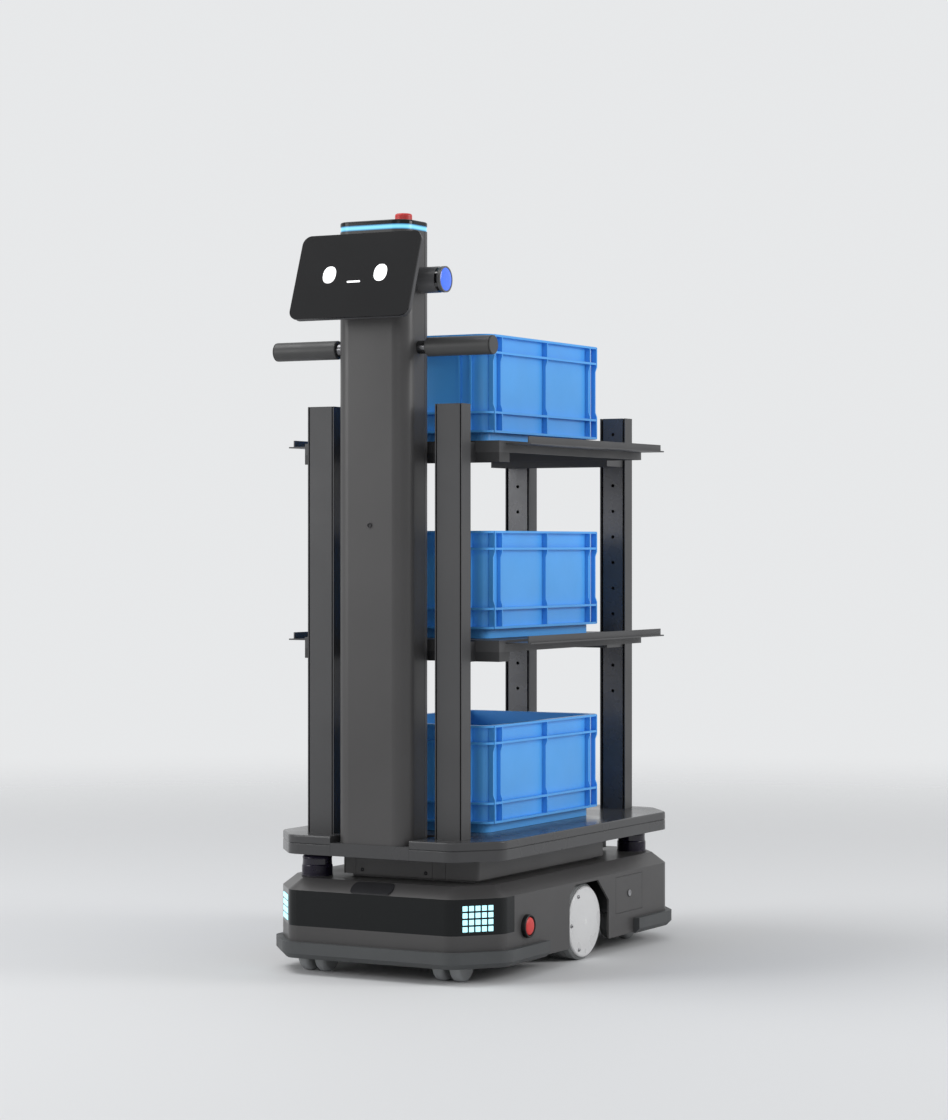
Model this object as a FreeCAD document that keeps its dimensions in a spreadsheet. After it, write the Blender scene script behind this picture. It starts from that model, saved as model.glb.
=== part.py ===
import FreeCAD, Part
import math
import os
import Sketcher
from FreeCAD import Placement, Rotation, Vector

# Autonomous mobile robot: a low drive base, a loading platform, a mast with a tilted screen,
# four shelf posts, two shelves and three totes. Millimetres, +Z up, the front faces -Y.
# Everything is drawn about the drive axle; frame_shift then brings the origin under the
# middle of the whole robot, screen included.

doc = FreeCAD.newDocument("mobile_robot")
sheet = doc.addObject("Spreadsheet::Sheet", "Sizes")
nodes = {}


# Sizes that keep the formula they come from

class Size:
    """A length together with the sheet formula that gives it."""

    def __init__(self, number, text):
        self.number = number
        self.text = text

    def __add__(self, other):
        other = as_size(other)
        return Size(self.number + other.number, f"({self.text} + {other.text})")

    def __radd__(self, other):
        return as_size(other) + self

    def __sub__(self, other):
        other = as_size(other)
        return Size(self.number - other.number, f"({self.text} - {other.text})")

    def __rsub__(self, other):
        return as_size(other) - self

    def __mul__(self, other):
        other = as_size(other)
        return Size(self.number * other.number, f"({self.text} * {other.text})")

    def __rmul__(self, other):
        return as_size(other) * self

    def __truediv__(self, other):
        other = as_size(other)
        return Size(self.number / other.number, f"({self.text} / {other.text})")

    def __neg__(self):
        return Size(-self.number, f"(0 - {self.text})")


def as_size(value):
    return value if isinstance(value, Size) else Size(float(value), str(value))


def size(alias, number, note):
    """A driving dimension: one named row of the sheet."""
    row = size.rows = getattr(size, "rows", 0) + 1
    sheet.set(f"A{row}", note)
    sheet.set(f"B{row}", str(number))
    sheet.setAlias(f"B{row}", alias)
    return Size(float(number), f"Sizes.{alias}")


frame_shift = size("frame_shift", 31.65, "drive axle behind the middle of the whole robot")

# Plan of the base and the loading platform
body_half_w = size("body_half_w", 227.5, "half width of the base and platform")
body_half_l = size("body_half_l", 405.5, "half length of the base and platform")
corner_x = size("corner_x", 63, "corner chamfer of the plan, across")
corner_y = size("corner_y", 76, "corner chamfer of the plan, along")
corner_round = size("corner_round", 32, "rounding of the plan corners")

# Base housing
skirt_low = size("skirt_low", 30, "lower edge of the housing above the floor")
bevel_low = size("bevel_low", 148, "height where the top bevel starts")
shell_top = size("shell_top", 168, "top of the housing")
bevel_run = size("bevel_run", 26, "how far the top bevel leans in")
shell_wall = size("shell_wall", 4, "wall of the housing")
mask_low = size("mask_low", 85, "lower edge of the front mask")
mask_thick = size("mask_thick", 2.5, "thickness of the front mask")
mask_end = size("mask_end", 292, "how far back from the middle the mask ends")
bumper_low = size("bumper_low", 28, "lower edge of the bumpers")
bumper_high = size("bumper_high", 57, "upper edge of the bumpers")
bumper_out = size("bumper_out", 12, "how far the bumpers stand proud")
bumper_end_front = size("bumper_end_front", 178, "rear end of the front bumper")
bumper_end_rear = size("bumper_end_rear", 186, "front end of the rear bumper")
bumper_bevel = size("bumper_bevel", 9, "bevel under the bumpers")
window_half_w = size("window_half_w", 42, "half width of the sensor window")
window_round = size("window_round", 9.5, "end radius of the sensor window")
window_thick = size("window_thick", 1.2, "how far the sensor window stands out")
square_side = size("square_side", 8.8, "side of one light square")
square_pitch = size("square_pitch", 12, "pitch of the light squares")
square_proud = size("square_proud", 0.8, "how far the light squares stand out")
square_centre = size("square_centre", 114, "middle height of the light squares")

# Chassis and what it carries
plate_low = size("plate_low", 78, "underside of the chassis plate")
plate_thick = size("plate_thick", 6, "thickness of the chassis plate")
axle_height = size("axle_height", 70, "height of the drive axle, the radius of the drive tyre")
wheel_recess = size("wheel_recess", 14.5, "how far the drive tyre lies inside the housing")
tyre_width = size("tyre_width", 54, "width of the drive tyre")
tyre_depth = size("tyre_depth", 14, "rubber thickness of the drive tyre")
disc_radius = size("disc_radius", 64.5, "radius of the wheel's cover disc")
disc_thick = size("disc_thick", 7, "thickness of the wheel's cover disc")
axle_radius = size("axle_radius", 10, "radius of the drive axle")
running_fit = size("running_fit", 0.05, "radial clearance of running shafts")
motor_radius = size("motor_radius", 38, "radius of the drive motor")
motor_inner = size("motor_inner", 52, "inner end of the drive motor")
motor_recess = size("motor_recess", 67, "outer end of the drive motor, inside the tyre")
saddle_width = size("saddle_width", 44, "width of the motor's saddle")
saddle_height = size("saddle_height", 9, "thickness of the motor's saddle feet")
arch_half = size("arch_half", 80, "half length of the wheel arch at its foot")
arch_top = size("arch_top", 143, "top of the wheel arch")
arch_front = size("arch_front", 55, "front end of the arch's top, ahead of the axle")
arch_rear = size("arch_rear", 36, "rear end of the arch's top, behind the axle")
arch_front_z = size("arch_front_z", 126, "front shoulder of the arch")
arch_rear_z = size("arch_rear_z", 102, "rear shoulder of the arch")
arch_round = size("arch_round", 6, "corner rounding of the arch")
liner_wall = size("liner_wall", 2.5, "wall of the wheel liner")
liner_recess = size("liner_recess", 63, "inner side of the wheel liner, inside the tyre")
battery_half_w = size("battery_half_w", 125, "half width of the battery pack")
battery_length = size("battery_length", 170, "length of the battery pack")
battery_height = size("battery_height", 62, "height of the battery pack")
battery_start = size("battery_start", 115, "front end of the battery pack")
controller_half_w = size("controller_half_w", 110, "half width of the controller")
controller_length = size("controller_length", 130, "length of the controller")
controller_height = size("controller_height", 48, "height of the controller")
controller_start = size("controller_start", 280, "front end of the controller, ahead of the axle")

# Casters
caster_side = size("caster_side", 90.5, "caster swivel axis from the side of the base")
caster_inset = size("caster_inset", 79.5, "caster swivel axis from the end of the base")
caster_trail = size("caster_trail", 24, "caster trail")
caster_radius = size("caster_radius", 30, "radius of the caster wheels")
caster_tread = size("caster_tread", 22, "width of one caster wheel")
caster_gap = size("caster_gap", 12, "space between the twin caster wheels")
caster_pin = size("caster_pin", 5, "radius of the caster axle")
caster_round = size("caster_round", 7, "edge rounding of the caster wheels")
kingpin_radius = size("kingpin_radius", 7, "radius of the caster kingpin")
caster_plate = size("caster_plate", 60, "side of the caster's top plate")
caster_plate_thick = size("caster_plate_thick", 3, "thickness of the caster's top plate")
race_radius = size("race_radius", 24, "radius of the caster's swivel race")
race_height = size("race_height", 7, "height of the caster's swivel race")
soft_gap = size("soft_gap", 0.3, "clearance between parts that slide or rest on each other")

# Side controls
button_y = size("button_y", 247, "side stop buttons, ahead of the axle")
button_z = size("button_z", 90, "height of the side stop buttons")
ring_radius = size("ring_radius", 17.5, "outer radius of a stop button's ring")
ring_proud = size("ring_proud", 6, "how far a stop button's ring stands out")
button_radius = size("button_radius", 14.4, "radius of a stop button")
button_proud = size("button_proud", 14, "how far a stop button stands out")
button_travel = size("button_travel", 4, "travel of a stop button")
button_round = size("button_round", 4, "edge rounding of a stop button")
stem_radius = size("stem_radius", 5, "radius of a stop button's stem")
switch_half = size("switch_half", 15, "half width of a stop button's switch block")
flap_front = size("flap_front", 110, "front edge of the service flap")
flap_rear = size("flap_rear", 222, "rear edge of the service flap")
flap_low = size("flap_low", 72.5, "lower edge of the service flap")
flap_high = size("flap_high", 139.5, "upper edge of the service flap")
flap_thick = size("flap_thick", 2.8, "thickness of the service flap")
flap_seam = size("flap_seam", 0.6, "seam round the service flap")
lock_radius = size("lock_radius", 7, "radius of the flap's lock")
socket_depth = size("socket_depth", 20, "how deep the charging panel lies behind the flap")

# Laser scanners
lidar_radius = size("lidar_radius", 28, "radius of a laser scanner")
lidar_height = size("lidar_height", 38, "height of a laser scanner")
lidar_side = size("lidar_side", 74.5, "laser scanner from the side of the base")
lidar_inset = size("lidar_inset", 75.5, "laser scanner from the end of the base")

# Pedestal and loading platform
pedestal_low = size("pedestal_low", 173, "lower edge of the pedestal's skirt")
pedestal_half_w = size("pedestal_half_w", 170, "half width of the pedestal")
pedestal_half_l = size("pedestal_half_l", 320, "half length of the pedestal")
pedestal_notch_x = size("pedestal_notch_x", 106, "scanner notch starts this far from the middle")
pedestal_notch_y = size("pedestal_notch_y", 176, "scanner notch starts this far from the axle")
pedestal_wall = size("pedestal_wall", 5, "wall of the pedestal")
pedestal_neck = size("pedestal_neck", 14, "how far the pedestal's neck steps in")
panel_half_w = size("panel_half_w", 78, "half width of the pedestal's front panel")
panel_thick = size("panel_thick", 3, "thickness of the pedestal's front panel")
deck_low = size("deck_low", 212, "underside of the loading platform")
deck_split = size("deck_split", 231, "seam of the loading platform")
deck_top = size("deck_top", 246, "top of the loading platform")
deck_edge = size("deck_edge", 1.2, "bevel on each side of the platform's seam")
deck_round = size("deck_round", 3, "rounding of the platform's top edge")
deck_floor = size("deck_floor", 4, "floor under the platform's pockets")
deck_border = size("deck_border", 32.5, "border beside the platform's pockets")
deck_rib = size("deck_rib", 20, "rib between the platform's pockets")
duct_half_w = size("duct_half_w", 60, "half width of the cable duct in the pedestal")
duct_half_l = size("duct_half_l", 200, "half length of the cable duct in the pedestal")
foot_half_w = size("foot_half_w", 80, "half width of the mast's foot")
foot_top = size("foot_top", 235, "top of the mast's foot")
foot_rear = size("foot_rear", 297, "rear end of the mast's foot, ahead of the axle")

# Mast
mast_half_w = size("mast_half_w", 73, "half width of the mast")
mast_front = size("mast_front", 403, "front of the mast, ahead of the axle")
mast_rear = size("mast_rear", 307, "rear of the mast, ahead of the axle")
mast_seam = size("mast_seam", 338, "seam between the mast's two covers")
mast_seam_gap = size("mast_seam_gap", 0.8, "width of the seams")
mast_round = size("mast_round", 29, "corner rounding of the mast")
mast_wall = size("mast_wall", 4, "wall of the mast's covers")
mast_top = size("mast_top", 1310, "top of the mast's covers")
profile_half = size("profile_half", 30, "half side of the profile inside the mast")
profile_wall = size("profile_wall", 4, "wall of the profile inside the mast")
profile_drop = size("profile_drop", 36, "top of the profile below the top of the covers")
ring_light_height = size("ring_light_height", 9.5, "height of the ring light")
cap_height = size("cap_height", 7.5, "thickness of the mast's cap")
stop_x = size("stop_x", 27, "head stop button from the middle")
stop_y = size("stop_y", 332, "head stop button, ahead of the axle")
head_stop_radius = size("head_stop_radius", 15.2, "radius of the head's stop button")
head_stop_proud = size("head_stop_proud", 17, "how far the head's stop button stands out")
port_height = size("port_height", 794, "height of the small port in the mast")
port_radius = size("port_radius", 4.5, "radius of the small port in the mast")

# Head
screen_width = size("screen_width", 240, "width of the screen")
screen_height = size("screen_height", 159, "height of the screen")
screen_round = size("screen_round", 17, "corner rounding of the screen")
screen_glass = size("screen_glass", 3, "thickness of the screen's glass")
screen_depth = size("screen_depth", 19, "depth of the screen's housing")
screen_inset = size("screen_inset", 2, "how far the housing steps in behind the glass")
screen_tilt = size("screen_tilt", 19.7, "how far the screen leans back, in degrees")
screen_y = size("screen_y", 454, "middle of the screen, ahead of the axle")
screen_drop = size("screen_drop", 82.5, "middle of the screen below the top of the covers")
bracket_half_w = size("bracket_half_w", 34, "half width of the screen's bracket")
lamp_y = size("lamp_y", 346, "side lamps, ahead of the axle")
lamp_drop = size("lamp_drop", 86.5, "side lamps below the top of the covers")
lamp_radius = size("lamp_radius", 23, "radius of a side lamp")
lamp_end = size("lamp_end", 121, "outer end of a side lamp")
lens_radius = size("lens_radius", 20.3, "radius of a side lamp's lens")
lens_depth = size("lens_depth", 3, "how deep a side lamp's lens sits in its rim")
lamp_rim = size("lamp_rim", 6, "length of a side lamp's rim")
lamp_groove = size("lamp_groove", 6, "width of the groove behind a side lamp's rim")
lamp_groove_depth = size("lamp_groove_depth", 1.7, "depth of the groove behind a side lamp's rim")
grip_y = size("grip_y", 356.5, "handles, ahead of the axle")
grip_drop = size("grip_drop", 204.5, "handles below the top of the covers")
grip_radius = size("grip_radius", 16.8, "radius of a handle's grip")
grip_end = size("grip_end", 221.5, "outer end of a handle")
grip_round = size("grip_round", 2, "inner end rounding of a handle")
grip_groove = size("grip_groove", 1.4, "groove at a handle's outer end")
collar_length = size("collar_length", 18, "length of a handle's collar")
collar_radius = size("collar_radius", 11.7, "radius of a handle's collar")

# Shelf posts
post_width = size("post_width", 54, "width of a shelf post")
post_depth = size("post_depth", 31.5, "depth of a shelf post")
post_sheet = size("post_sheet", 1.8, "sheet of a shelf post")
post_top = size("post_top", 1006, "top of the shelf posts")
cover_width = size("cover_width", 45.5, "width of the cover strip on a post's closed side")
cover_sheet = size("cover_sheet", 5, "thickness of a post's cover strip")
front_post_x = size("front_post_x", 103.5, "inner side of the front posts")
front_post_y = size("front_post_y", 355, "front of the front posts, ahead of the axle")
rear_post_x = size("rear_post_x", 78, "inner side of the rear posts")
rear_post_y = size("rear_post_y", 376.5, "rear of the rear posts")
rail_gap = size("rail_gap", 4.2, "slot beside the perforated rail in a post")
rail_recess = size("rail_recess", 1.5, "how far the perforated rail lies inside a post")
rail_sheet = size("rail_sheet", 2.5, "sheet of the perforated rail")
hole_radius = size("hole_radius", 3.3, "radius of the rail's holes")
hole_pitch = size("hole_pitch", 50, "pitch of the rail's holes")
hole_first = size("hole_first", 475, "height of the rail's lowest hole")
hole_count = 11

# Shelves
shelf_middle_top = size("shelf_middle_top", 592.5, "top of the middle shelf")
shelf_upper_top = size("shelf_upper_top", 942.5, "top of the upper shelf")
tray_half_w = size("tray_half_w", 200, "half width of a shelf's tray")
tray_front = size("tray_front", 297, "front of a shelf's tray, ahead of the axle")
tray_rear = size("tray_rear", 276, "rear of a shelf's tray")
tray_drop = size("tray_drop", 20.5, "depth of a shelf's tray")
tray_sheet = size("tray_sheet", 2.5, "sheet of a shelf")
wing_half_w = size("wing_half_w", 250, "half width of a shelf over its side wings")
wing_half_l = size("wing_half_l", 272, "half length of a side wing")
wing_low = size("wing_low", 6.5, "underside of a wing below the shelf's top")
rim_inset = size("rim_inset", 7, "how far a wing's rim stands in from its edge")
rim_height = size("rim_height", 7.5, "rim above the shelf's top")
bar_low = size("bar_low", 37.5, "underside of a front cross bar below the shelf's top")
bar_depth = size("bar_depth", 38, "depth of a front cross bar")
beam_low = size("beam_low", 31.3, "underside of a rear beam below the shelf's top")
beam_high = size("beam_high", 10.5, "top of a rear beam below the shelf's top")
beam_inset = size("beam_inset", 5, "how far beams and brackets stop short of a post's side")
beam_sheet = size("beam_sheet", 3, "sheet of bars and beams")

# Totes
tote_half_w = size("tote_half_w", 148, "half width of a tote over its rim")
tote_half_l = size("tote_half_l", 222, "half length of a tote over its rim")
tote_centre = size("tote_centre", 13, "middle of a tote, ahead of the axle")
tote_height = size("tote_height", 192, "height of a tote")
tote_wall = size("tote_wall", 3, "wall of a tote")
tote_rib = size("tote_rib", 10, "how far a tote's ribs stand out")
tote_rib_high = size("tote_rib_high", 4, "thickness of a tote's ribs")
tote_rim = size("tote_rim", 9, "height of a tote's rim")
tote_round = size("tote_round", 20, "corner rounding of a tote")
tote_base = size("tote_base", 17, "height of a tote's base")
tote_base_inset = size("tote_base_inset", 16, "how far a tote's base steps in")
tote_rib_upper = size("tote_rib_upper", 158, "height of a tote's upper rib")
tote_rib_lower = size("tote_rib_lower", 51, "height of a tote's lower rib")
tote_fin_thick = size("tote_fin_thick", 3, "thickness of a tote's upright ribs")
tote_fin_a = size("tote_fin_a", 175, "upright rib of a long side, from its middle")
tote_fin_b = size("tote_fin_b", 203, "last upright rib of a long side, from its middle")
tote_fin_c = size("tote_fin_c", 83, "upright rib of a short side, from its middle")
tote_fin_d = size("tote_fin_d", 106, "last upright rib of a short side, from its middle")

wheel_outer = body_half_w - wheel_recess
motor_outer = wheel_outer - motor_recess
liner_inner = wheel_outer - liner_recess
caster_x = body_half_w - caster_side
caster_y = body_half_l - caster_inset
lidar_x = body_half_w - lidar_side
lidar_y = body_half_l - lidar_inset
ring_light_high = mast_top + ring_light_height
cap_top = ring_light_high + cap_height
screen_z = mast_top - screen_drop
lamp_z = mast_top - lamp_drop
grip_z = mast_top - grip_drop

doc.recompute()


# Ways to make a piece

def bind(part, name, value):
    """Set a property, and tie it to its formula."""
    value = as_size(value)
    target = part
    steps = name.split(".")
    if len(steps) == 1:
        setattr(target, name, value.number)
    if "Sizes." in value.text:
        part.setExpression(name, value.text)


def place(part, x, y, z, rotation=None):
    """Put a part at a point that follows the sheet."""
    spot = [as_size(value) for value in (x, y, z)]
    turn = rotation or Rotation()
    part.Placement = Placement(Vector(*(value.number for value in spot)), turn)
    for axis, value in zip("xyz", spot):
        if "Sizes." in value.text:
            part.setExpression(f"Placement.Base.{axis}", value.text)
    return part


def box(name, x, y, z):
    """A block between two limits along each axis."""
    part = doc.addObject("Part::Box", name)
    for side, (low, high) in zip(("Length", "Width", "Height"), (x, y, z)):
        bind(part, side, as_size(high) - low)
    return place(part, x[0], y[0], z[0])


TURNS = {
    "x": Rotation(Vector(0, 0, 1), Vector(1, 0, 0)),
    "y": Rotation(Vector(0, 0, 1), Vector(0, 1, 0)),
    "z": Rotation(),
}


def rod(name, axis, radius, along, centre):
    """A cylinder along an axis, between two limits; centre gives the two other coordinates."""
    part = doc.addObject("Part::Cylinder", name)
    bind(part, "Radius", radius)
    bind(part, "Height", as_size(along[1]) - along[0])
    spot = list(centre)
    spot.insert("xyz".index(axis), along[0])
    return place(part, *spot, rotation=TURNS[axis])


def fuse(name, *parts):
    part = doc.addObject("Part::MultiFuse", name)
    part.Shapes = list(parts)
    part.Refine = True
    return part


def cut(name, base, *tools):
    tool = tools[0] if len(tools) == 1 else fuse(name + "_tools", *tools)
    part = doc.addObject("Part::Cut", name)
    part.Base = base
    part.Tool = tool
    part.Refine = True
    return part


def common(name, first, second):
    part = doc.addObject("Part::Common", name)
    part.Base = first
    part.Tool = second
    return part


def group(name, *parts):
    """Separate solids that share one node."""
    part = doc.addObject("Part::Compound", name)
    part.Links = list(parts)
    return part


def shifted(name, source, x=0, y=0, z=0):
    """A copy of a piece at another place."""
    return place(group(name, source), x, y, z)


def mirrored(name, source, normal):
    part = doc.addObject("Part::Mirroring", name)
    part.Source = source
    part.Normal = normal
    return part


PLANES = {"XY": "XY_Plane", "XZ": "XZ_Plane", "YZ": "YZ_Plane"}


def draw(body, name, plane, corners, offset=0):
    """A closed outline of straight runs on an origin plane, with each corner tied to the sheet."""
    sketch = body.newObject("Sketcher::SketchObject", name)
    role = PLANES[plane]
    face = next(item for item in body.Origin.OriginFeatures if item.Role == role)
    sketch.AttachmentSupport = [(face, "")]
    sketch.MapMode = "FlatFace"
    corners = [(as_size(a), as_size(b)) for a, b in corners]
    points = [Vector(a.number, b.number, 0) for a, b in corners]
    count = len(points)
    for i in range(count):
        sketch.addGeometry(Part.LineSegment(points[i], points[(i + 1) % count]), False)
    for i in range(count):
        sketch.addConstraint(Sketcher.Constraint("Coincident", i, 2, (i + 1) % count, 1))
    for i, corner in enumerate(corners):
        for kind, axis, value in zip(("DistanceX", "DistanceY"), (-2, -1), corner):
            if "Sizes." not in value.text and value.number == 0:
                sketch.addConstraint(Sketcher.Constraint("PointOnObject", i, 1, axis))
                continue
            index = sketch.addConstraint(Sketcher.Constraint(kind, -1, 1, i, 1, value.number))
            if "Sizes." in value.text:
                sketch.setExpression(f"Constraints[{index}]", value.text)
    offset = as_size(offset)
    sketch.AttachmentOffset = Placement(Vector(0, 0, offset.number), Rotation())
    if "Sizes." in offset.text:
        sketch.setExpression("AttachmentOffset.Base.z", offset.text)
    return sketch


def edges_along(shape, direction):
    """Names of the straight edges that lie along a direction."""
    names = []
    for i, edge in enumerate(shape.Edges):
        if isinstance(edge.Curve, Part.Line) and abs(abs(edge.Curve.Direction * direction) - 1) < 1e-6:
            names.append(f"Edge{i + 1}")
    return names


def prism(name, plane, corners, low, high, rounding=None):
    """A PartDesign body: an outline padded between two levels, its upright edges rounded if asked."""
    body = doc.addObject("PartDesign::Body", name)
    low = as_size(low)
    high = as_size(high)
    offset = -high if plane == "XZ" else low
    sketch = draw(body, name + "_outline", plane, corners, offset)
    pad = body.newObject("PartDesign::Pad", name + "_pad")
    pad.Profile = sketch
    bind(pad, "Length", high - low)
    doc.recompute()
    if rounding is not None:
        normal = {"XY": Vector(0, 0, 1), "XZ": Vector(0, 1, 0), "YZ": Vector(1, 0, 0)}[plane]
        fillet = body.newObject("PartDesign::Fillet", name + "_rounding")
        fillet.Base = (pad, edges_along(pad.Shape, normal))
        bind(fillet, "Radius", rounding)
    return body


def lathe(name, profile, rotation=None, spot=(0, 0, 0)):
    """A PartDesign body: a half section of (radius, height) points turned about the upright axis."""
    body = doc.addObject("PartDesign::Body", name)
    sketch = draw(body, name + "_section", "XZ", profile)
    turn = body.newObject("PartDesign::Revolution", name + "_turn")
    turn.Profile = sketch
    turn.ReferenceAxis = (sketch, ["V_Axis"])
    turn.Angle = 360
    place(body, *spot, rotation=rotation)
    return body


def plan(name, inset, low, high):
    """The base's eight-sided plan as a rounded prism, stepped in by an inset all round."""
    across = body_half_w - inset
    along = body_half_l - inset
    near_x = body_half_w - corner_x - inset * 0.45
    near_y = body_half_l - corner_y - inset * 0.37
    corners = [
        (-near_x, -along), (near_x, -along), (across, -near_y), (across, near_y),
        (near_x, along), (-near_x, along), (-across, near_y), (-across, -near_y),
    ]
    return prism(name, "XY", corners, low, high, corner_round - inset * 0.6)


def node(name, part):
    """Bring a finished piece into the outside frame and give it its node name."""
    placed = shifted("node_" + name, part, 0, frame_shift)
    placed.Label = name
    nodes[name] = placed
    return placed


far = body_half_l * 3


# Base housing with its mask, windows and bumpers

def bevel_face(body, at_top, reach, rise, side):
    """Cut a slanted edge all round the top or bottom face; side tells how far in it must come."""
    doc.recompute()
    solid = body.Tip
    faces = solid.Shape.Faces
    pick = max if at_top else min
    index = pick(range(len(faces)), key=lambda i: faces[i].CenterOfMass.z)
    bevel = body.newObject("PartDesign::Chamfer", body.Name + "_bevel")
    bevel.Base = (solid, [f"Face{index + 1}"])
    bevel.ChamferType = "Two distances"
    bind(bevel, "Size", rise)
    bind(bevel, "Size2", reach)
    doc.recompute()
    level = faces[index].CenterOfMass.z
    half = max(v.X for v in bevel.Shape.Vertexes if abs(v.Z - level) < 0.01)
    bevel.FlipDirection = abs(half - as_size(side).number) > 0.1
    return body


def round_face(body, at_top, radius):
    """Round the whole outline of the top or bottom face."""
    doc.recompute()
    solid = body.Tip
    faces = solid.Shape.Faces
    pick = max if at_top else min
    index = pick(range(len(faces)), key=lambda i: faces[i].CenterOfMass.z)
    fillet = body.newObject("PartDesign::Fillet", body.Name + "_edge")
    fillet.Base = (solid, [f"Face{index + 1}"])
    bind(fillet, "Radius", radius)
    return body


def band(name, low, high):
    """The front wrap-round band that the mask fills."""
    outside = plan(name + "_outside", 0, low, high)
    inside = plan(name + "_inside", mask_thick, low - 1, high + 1)
    ring = cut(name + "_ring", outside, inside)
    front = box(name + "_front", (-far, far), (-far, -mask_end), (low - 1, high + 1))
    return common(name, ring, front)


def bumper(name, start, end):
    """A rubber strip round one end of the base, with a bevel under it."""
    outside = plan(name + "_outside", -bumper_out, bumper_low, bumper_high)
    bevel_face(outside, False, bumper_bevel, bumper_bevel, body_half_w + bumper_out - bumper_bevel)
    inside = plan(name + "_inside", 0, bumper_low - 1, bumper_high + 1)
    ring = cut(name + "_ring", outside, inside)
    return common(name + "_half", ring, box(name + "_side", (-far, far), (start, end), (0, bumper_high + 1)))


def pill(name, half_w, radius, z_centre, y_low, y_high):
    """An upright slab with two round ends."""
    middle = box(name + "_middle", (radius - half_w, half_w - radius), (y_low, y_high),
                 (z_centre - radius, z_centre + radius))
    left = rod(name + "_left", "y", radius, (y_low, y_high), (radius - half_w, z_centre))
    right = rod(name + "_right", "y", radius, (y_low, y_high), (half_w - radius, z_centre))
    return fuse(name, middle, left, right)


def base_shell():
    block = plan("shell_block", 0, skirt_low, shell_top)
    bevel_face(block, True, bevel_run, shell_top - bevel_low, body_half_w - bevel_run)
    lower = plan("shell_hollow", shell_wall, skirt_low - 1, hollow_high)
    upper = plan("shell_hollow_top", bevel_run + shell_wall, hollow_high - 1, shell_top - shell_wall)
    recess = band("mask_recess", mask_low, bevel_low)
    arch = prism("arch_opening", "YZ", [
        (-arch_half, 0), (-arch_half, arch_front_z), (-arch_front, arch_top),
        (arch_rear, arch_top), (arch_half, arch_rear_z), (arch_half, 0),
    ], -far, far, arch_round)
    flap_hole = box("flap_opening", (body_half_w - shell_wall - 1, body_half_w + 1),
                    (flap_front - flap_seam, flap_rear + flap_seam), (flap_low - flap_seam, flap_high + flap_seam))
    button_holes = rod("button_holes", "x", button_radius + soft_gap, (-far, far), (-button_y, button_z))
    return cut("shell_cut", block, lower, upper, recess, arch, flap_hole, button_holes)


def sensor_window():
    """A dark lozenge let into the front bevel; it follows the bevel's slope."""
    slab = pill("window_slab", window_half_w, window_round, bevel_low + (shell_top - bevel_low) / 2,
                -body_half_l, -body_half_l + bevel_run)
    skin = plan("window_skin", -window_thick, skirt_low, shell_top + window_thick)
    bevel_face(skin, True, bevel_run, shell_top - bevel_low, body_half_w + window_thick - bevel_run)
    core = plan("window_core", 0, skirt_low - 1, shell_top)
    bevel_face(core, True, bevel_run, shell_top - bevel_low, body_half_w - bevel_run)
    return common("window_piece", slab, cut("window_layer", skin, core))


def light_squares():
    """Two five-by-four fields of small lights on the front corner chamfers."""
    tile = doc.addObject("Part::Box", "light_tile")
    bind(tile, "Length", square_side)
    bind(tile, "Width", square_proud)
    bind(tile, "Height", square_side)
    slope = math.degrees(math.atan2(corner_y.number, corner_x.number))
    side_x = body_half_w - corner_x / 2
    side_y = body_half_l - corner_y / 2
    tiles = []
    for column in range(5):
        for row in range(4):
            along = square_pitch * (column - 2) - square_side / 2
            copy = group(f"light_tile_{column}_{row}", tile)
            place(copy, along, -square_proud, square_centre + square_pitch * (row - 1.5) - square_side / 2)
            tiles.append(copy)
    field = group("light_field", *tiles)
    place(field, side_x, -side_y, 0, Rotation(Vector(0, 0, 1), slope))
    return group("light_fields", field, mirrored("light_field_left", field, Vector(1, 0, 0)))


hollow_high = bevel_low - shell_wall / 2
plate_high = plate_low + plate_thick
bay_half = arch_half + shell_wall

node("base_shell", base_shell())
node("front_mask", band("mask", mask_low, bevel_low))
node("light_squares", light_squares())
node("sensor_window", sensor_window())
node("bumpers", group("bumper_pair", bumper("bumper_front", -far, -bumper_end_front),
                      bumper("bumper_rear", bumper_end_rear, far)))


# Chassis plate, wheel liners, motors, battery and controller

def both_sides(name, right):
    """A piece and its mirror image, as two solids of one node."""
    return group(name, right, mirrored(name + "_left", right, Vector(1, 0, 0)))


def chassis_plate():
    blank = plan("plate_blank", shell_wall, plate_low, plate_high)
    through = (plate_low - 1, plate_high + 1)
    wheel_bay = box("plate_wheel_bay", (liner_inner, far), (-bay_half, bay_half), through)
    motor_bay = box("plate_motor_bay", (motor_inner - 4, liner_inner + 1),
                    (-motor_radius - 4, motor_radius + 4), through)
    bays = both_sides("plate_bays", fuse("plate_bay", wheel_bay, motor_bay))
    return cut("plate_cut", blank, bays)


def wheel_liner():
    outer = box("liner_outer", (liner_inner, body_half_w - shell_wall),
                (-bay_half - liner_wall, bay_half + liner_wall), (plate_high, hollow_high))
    inner = box("liner_space", (liner_inner + liner_wall, body_half_w), (-bay_half, bay_half),
                (plate_high - 1, hollow_high - liner_wall))
    hole = rod("liner_hole", "x", axle_radius + 6, (liner_inner - 1, body_half_w), (0, axle_height))
    notch = box("liner_notch", (liner_inner - 1, liner_inner + liner_wall + 1),
                (-axle_radius - 6, axle_radius + 6), (plate_high - 1, plate_high + 3))
    return cut("liner_cut", outer, inner, hole, notch)


def drive_motor():
    gearbox = rod("motor_gearbox", "x", motor_radius, (motor_outer - 46, motor_outer), (0, axle_height))
    barrel = rod("motor_barrel", "x", motor_radius - 4, (motor_inner + 8, motor_outer - 46), (0, axle_height))
    brake = rod("motor_brake", "x", motor_radius - 12, (motor_inner, motor_inner + 8), (0, axle_height))
    bore = rod("motor_bore", "x", axle_radius + running_fit, (motor_outer - 40, motor_outer + 1), (0, axle_height))
    return cut("motor_cut", fuse("motor_solid", gearbox, barrel, brake), bore)


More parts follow.
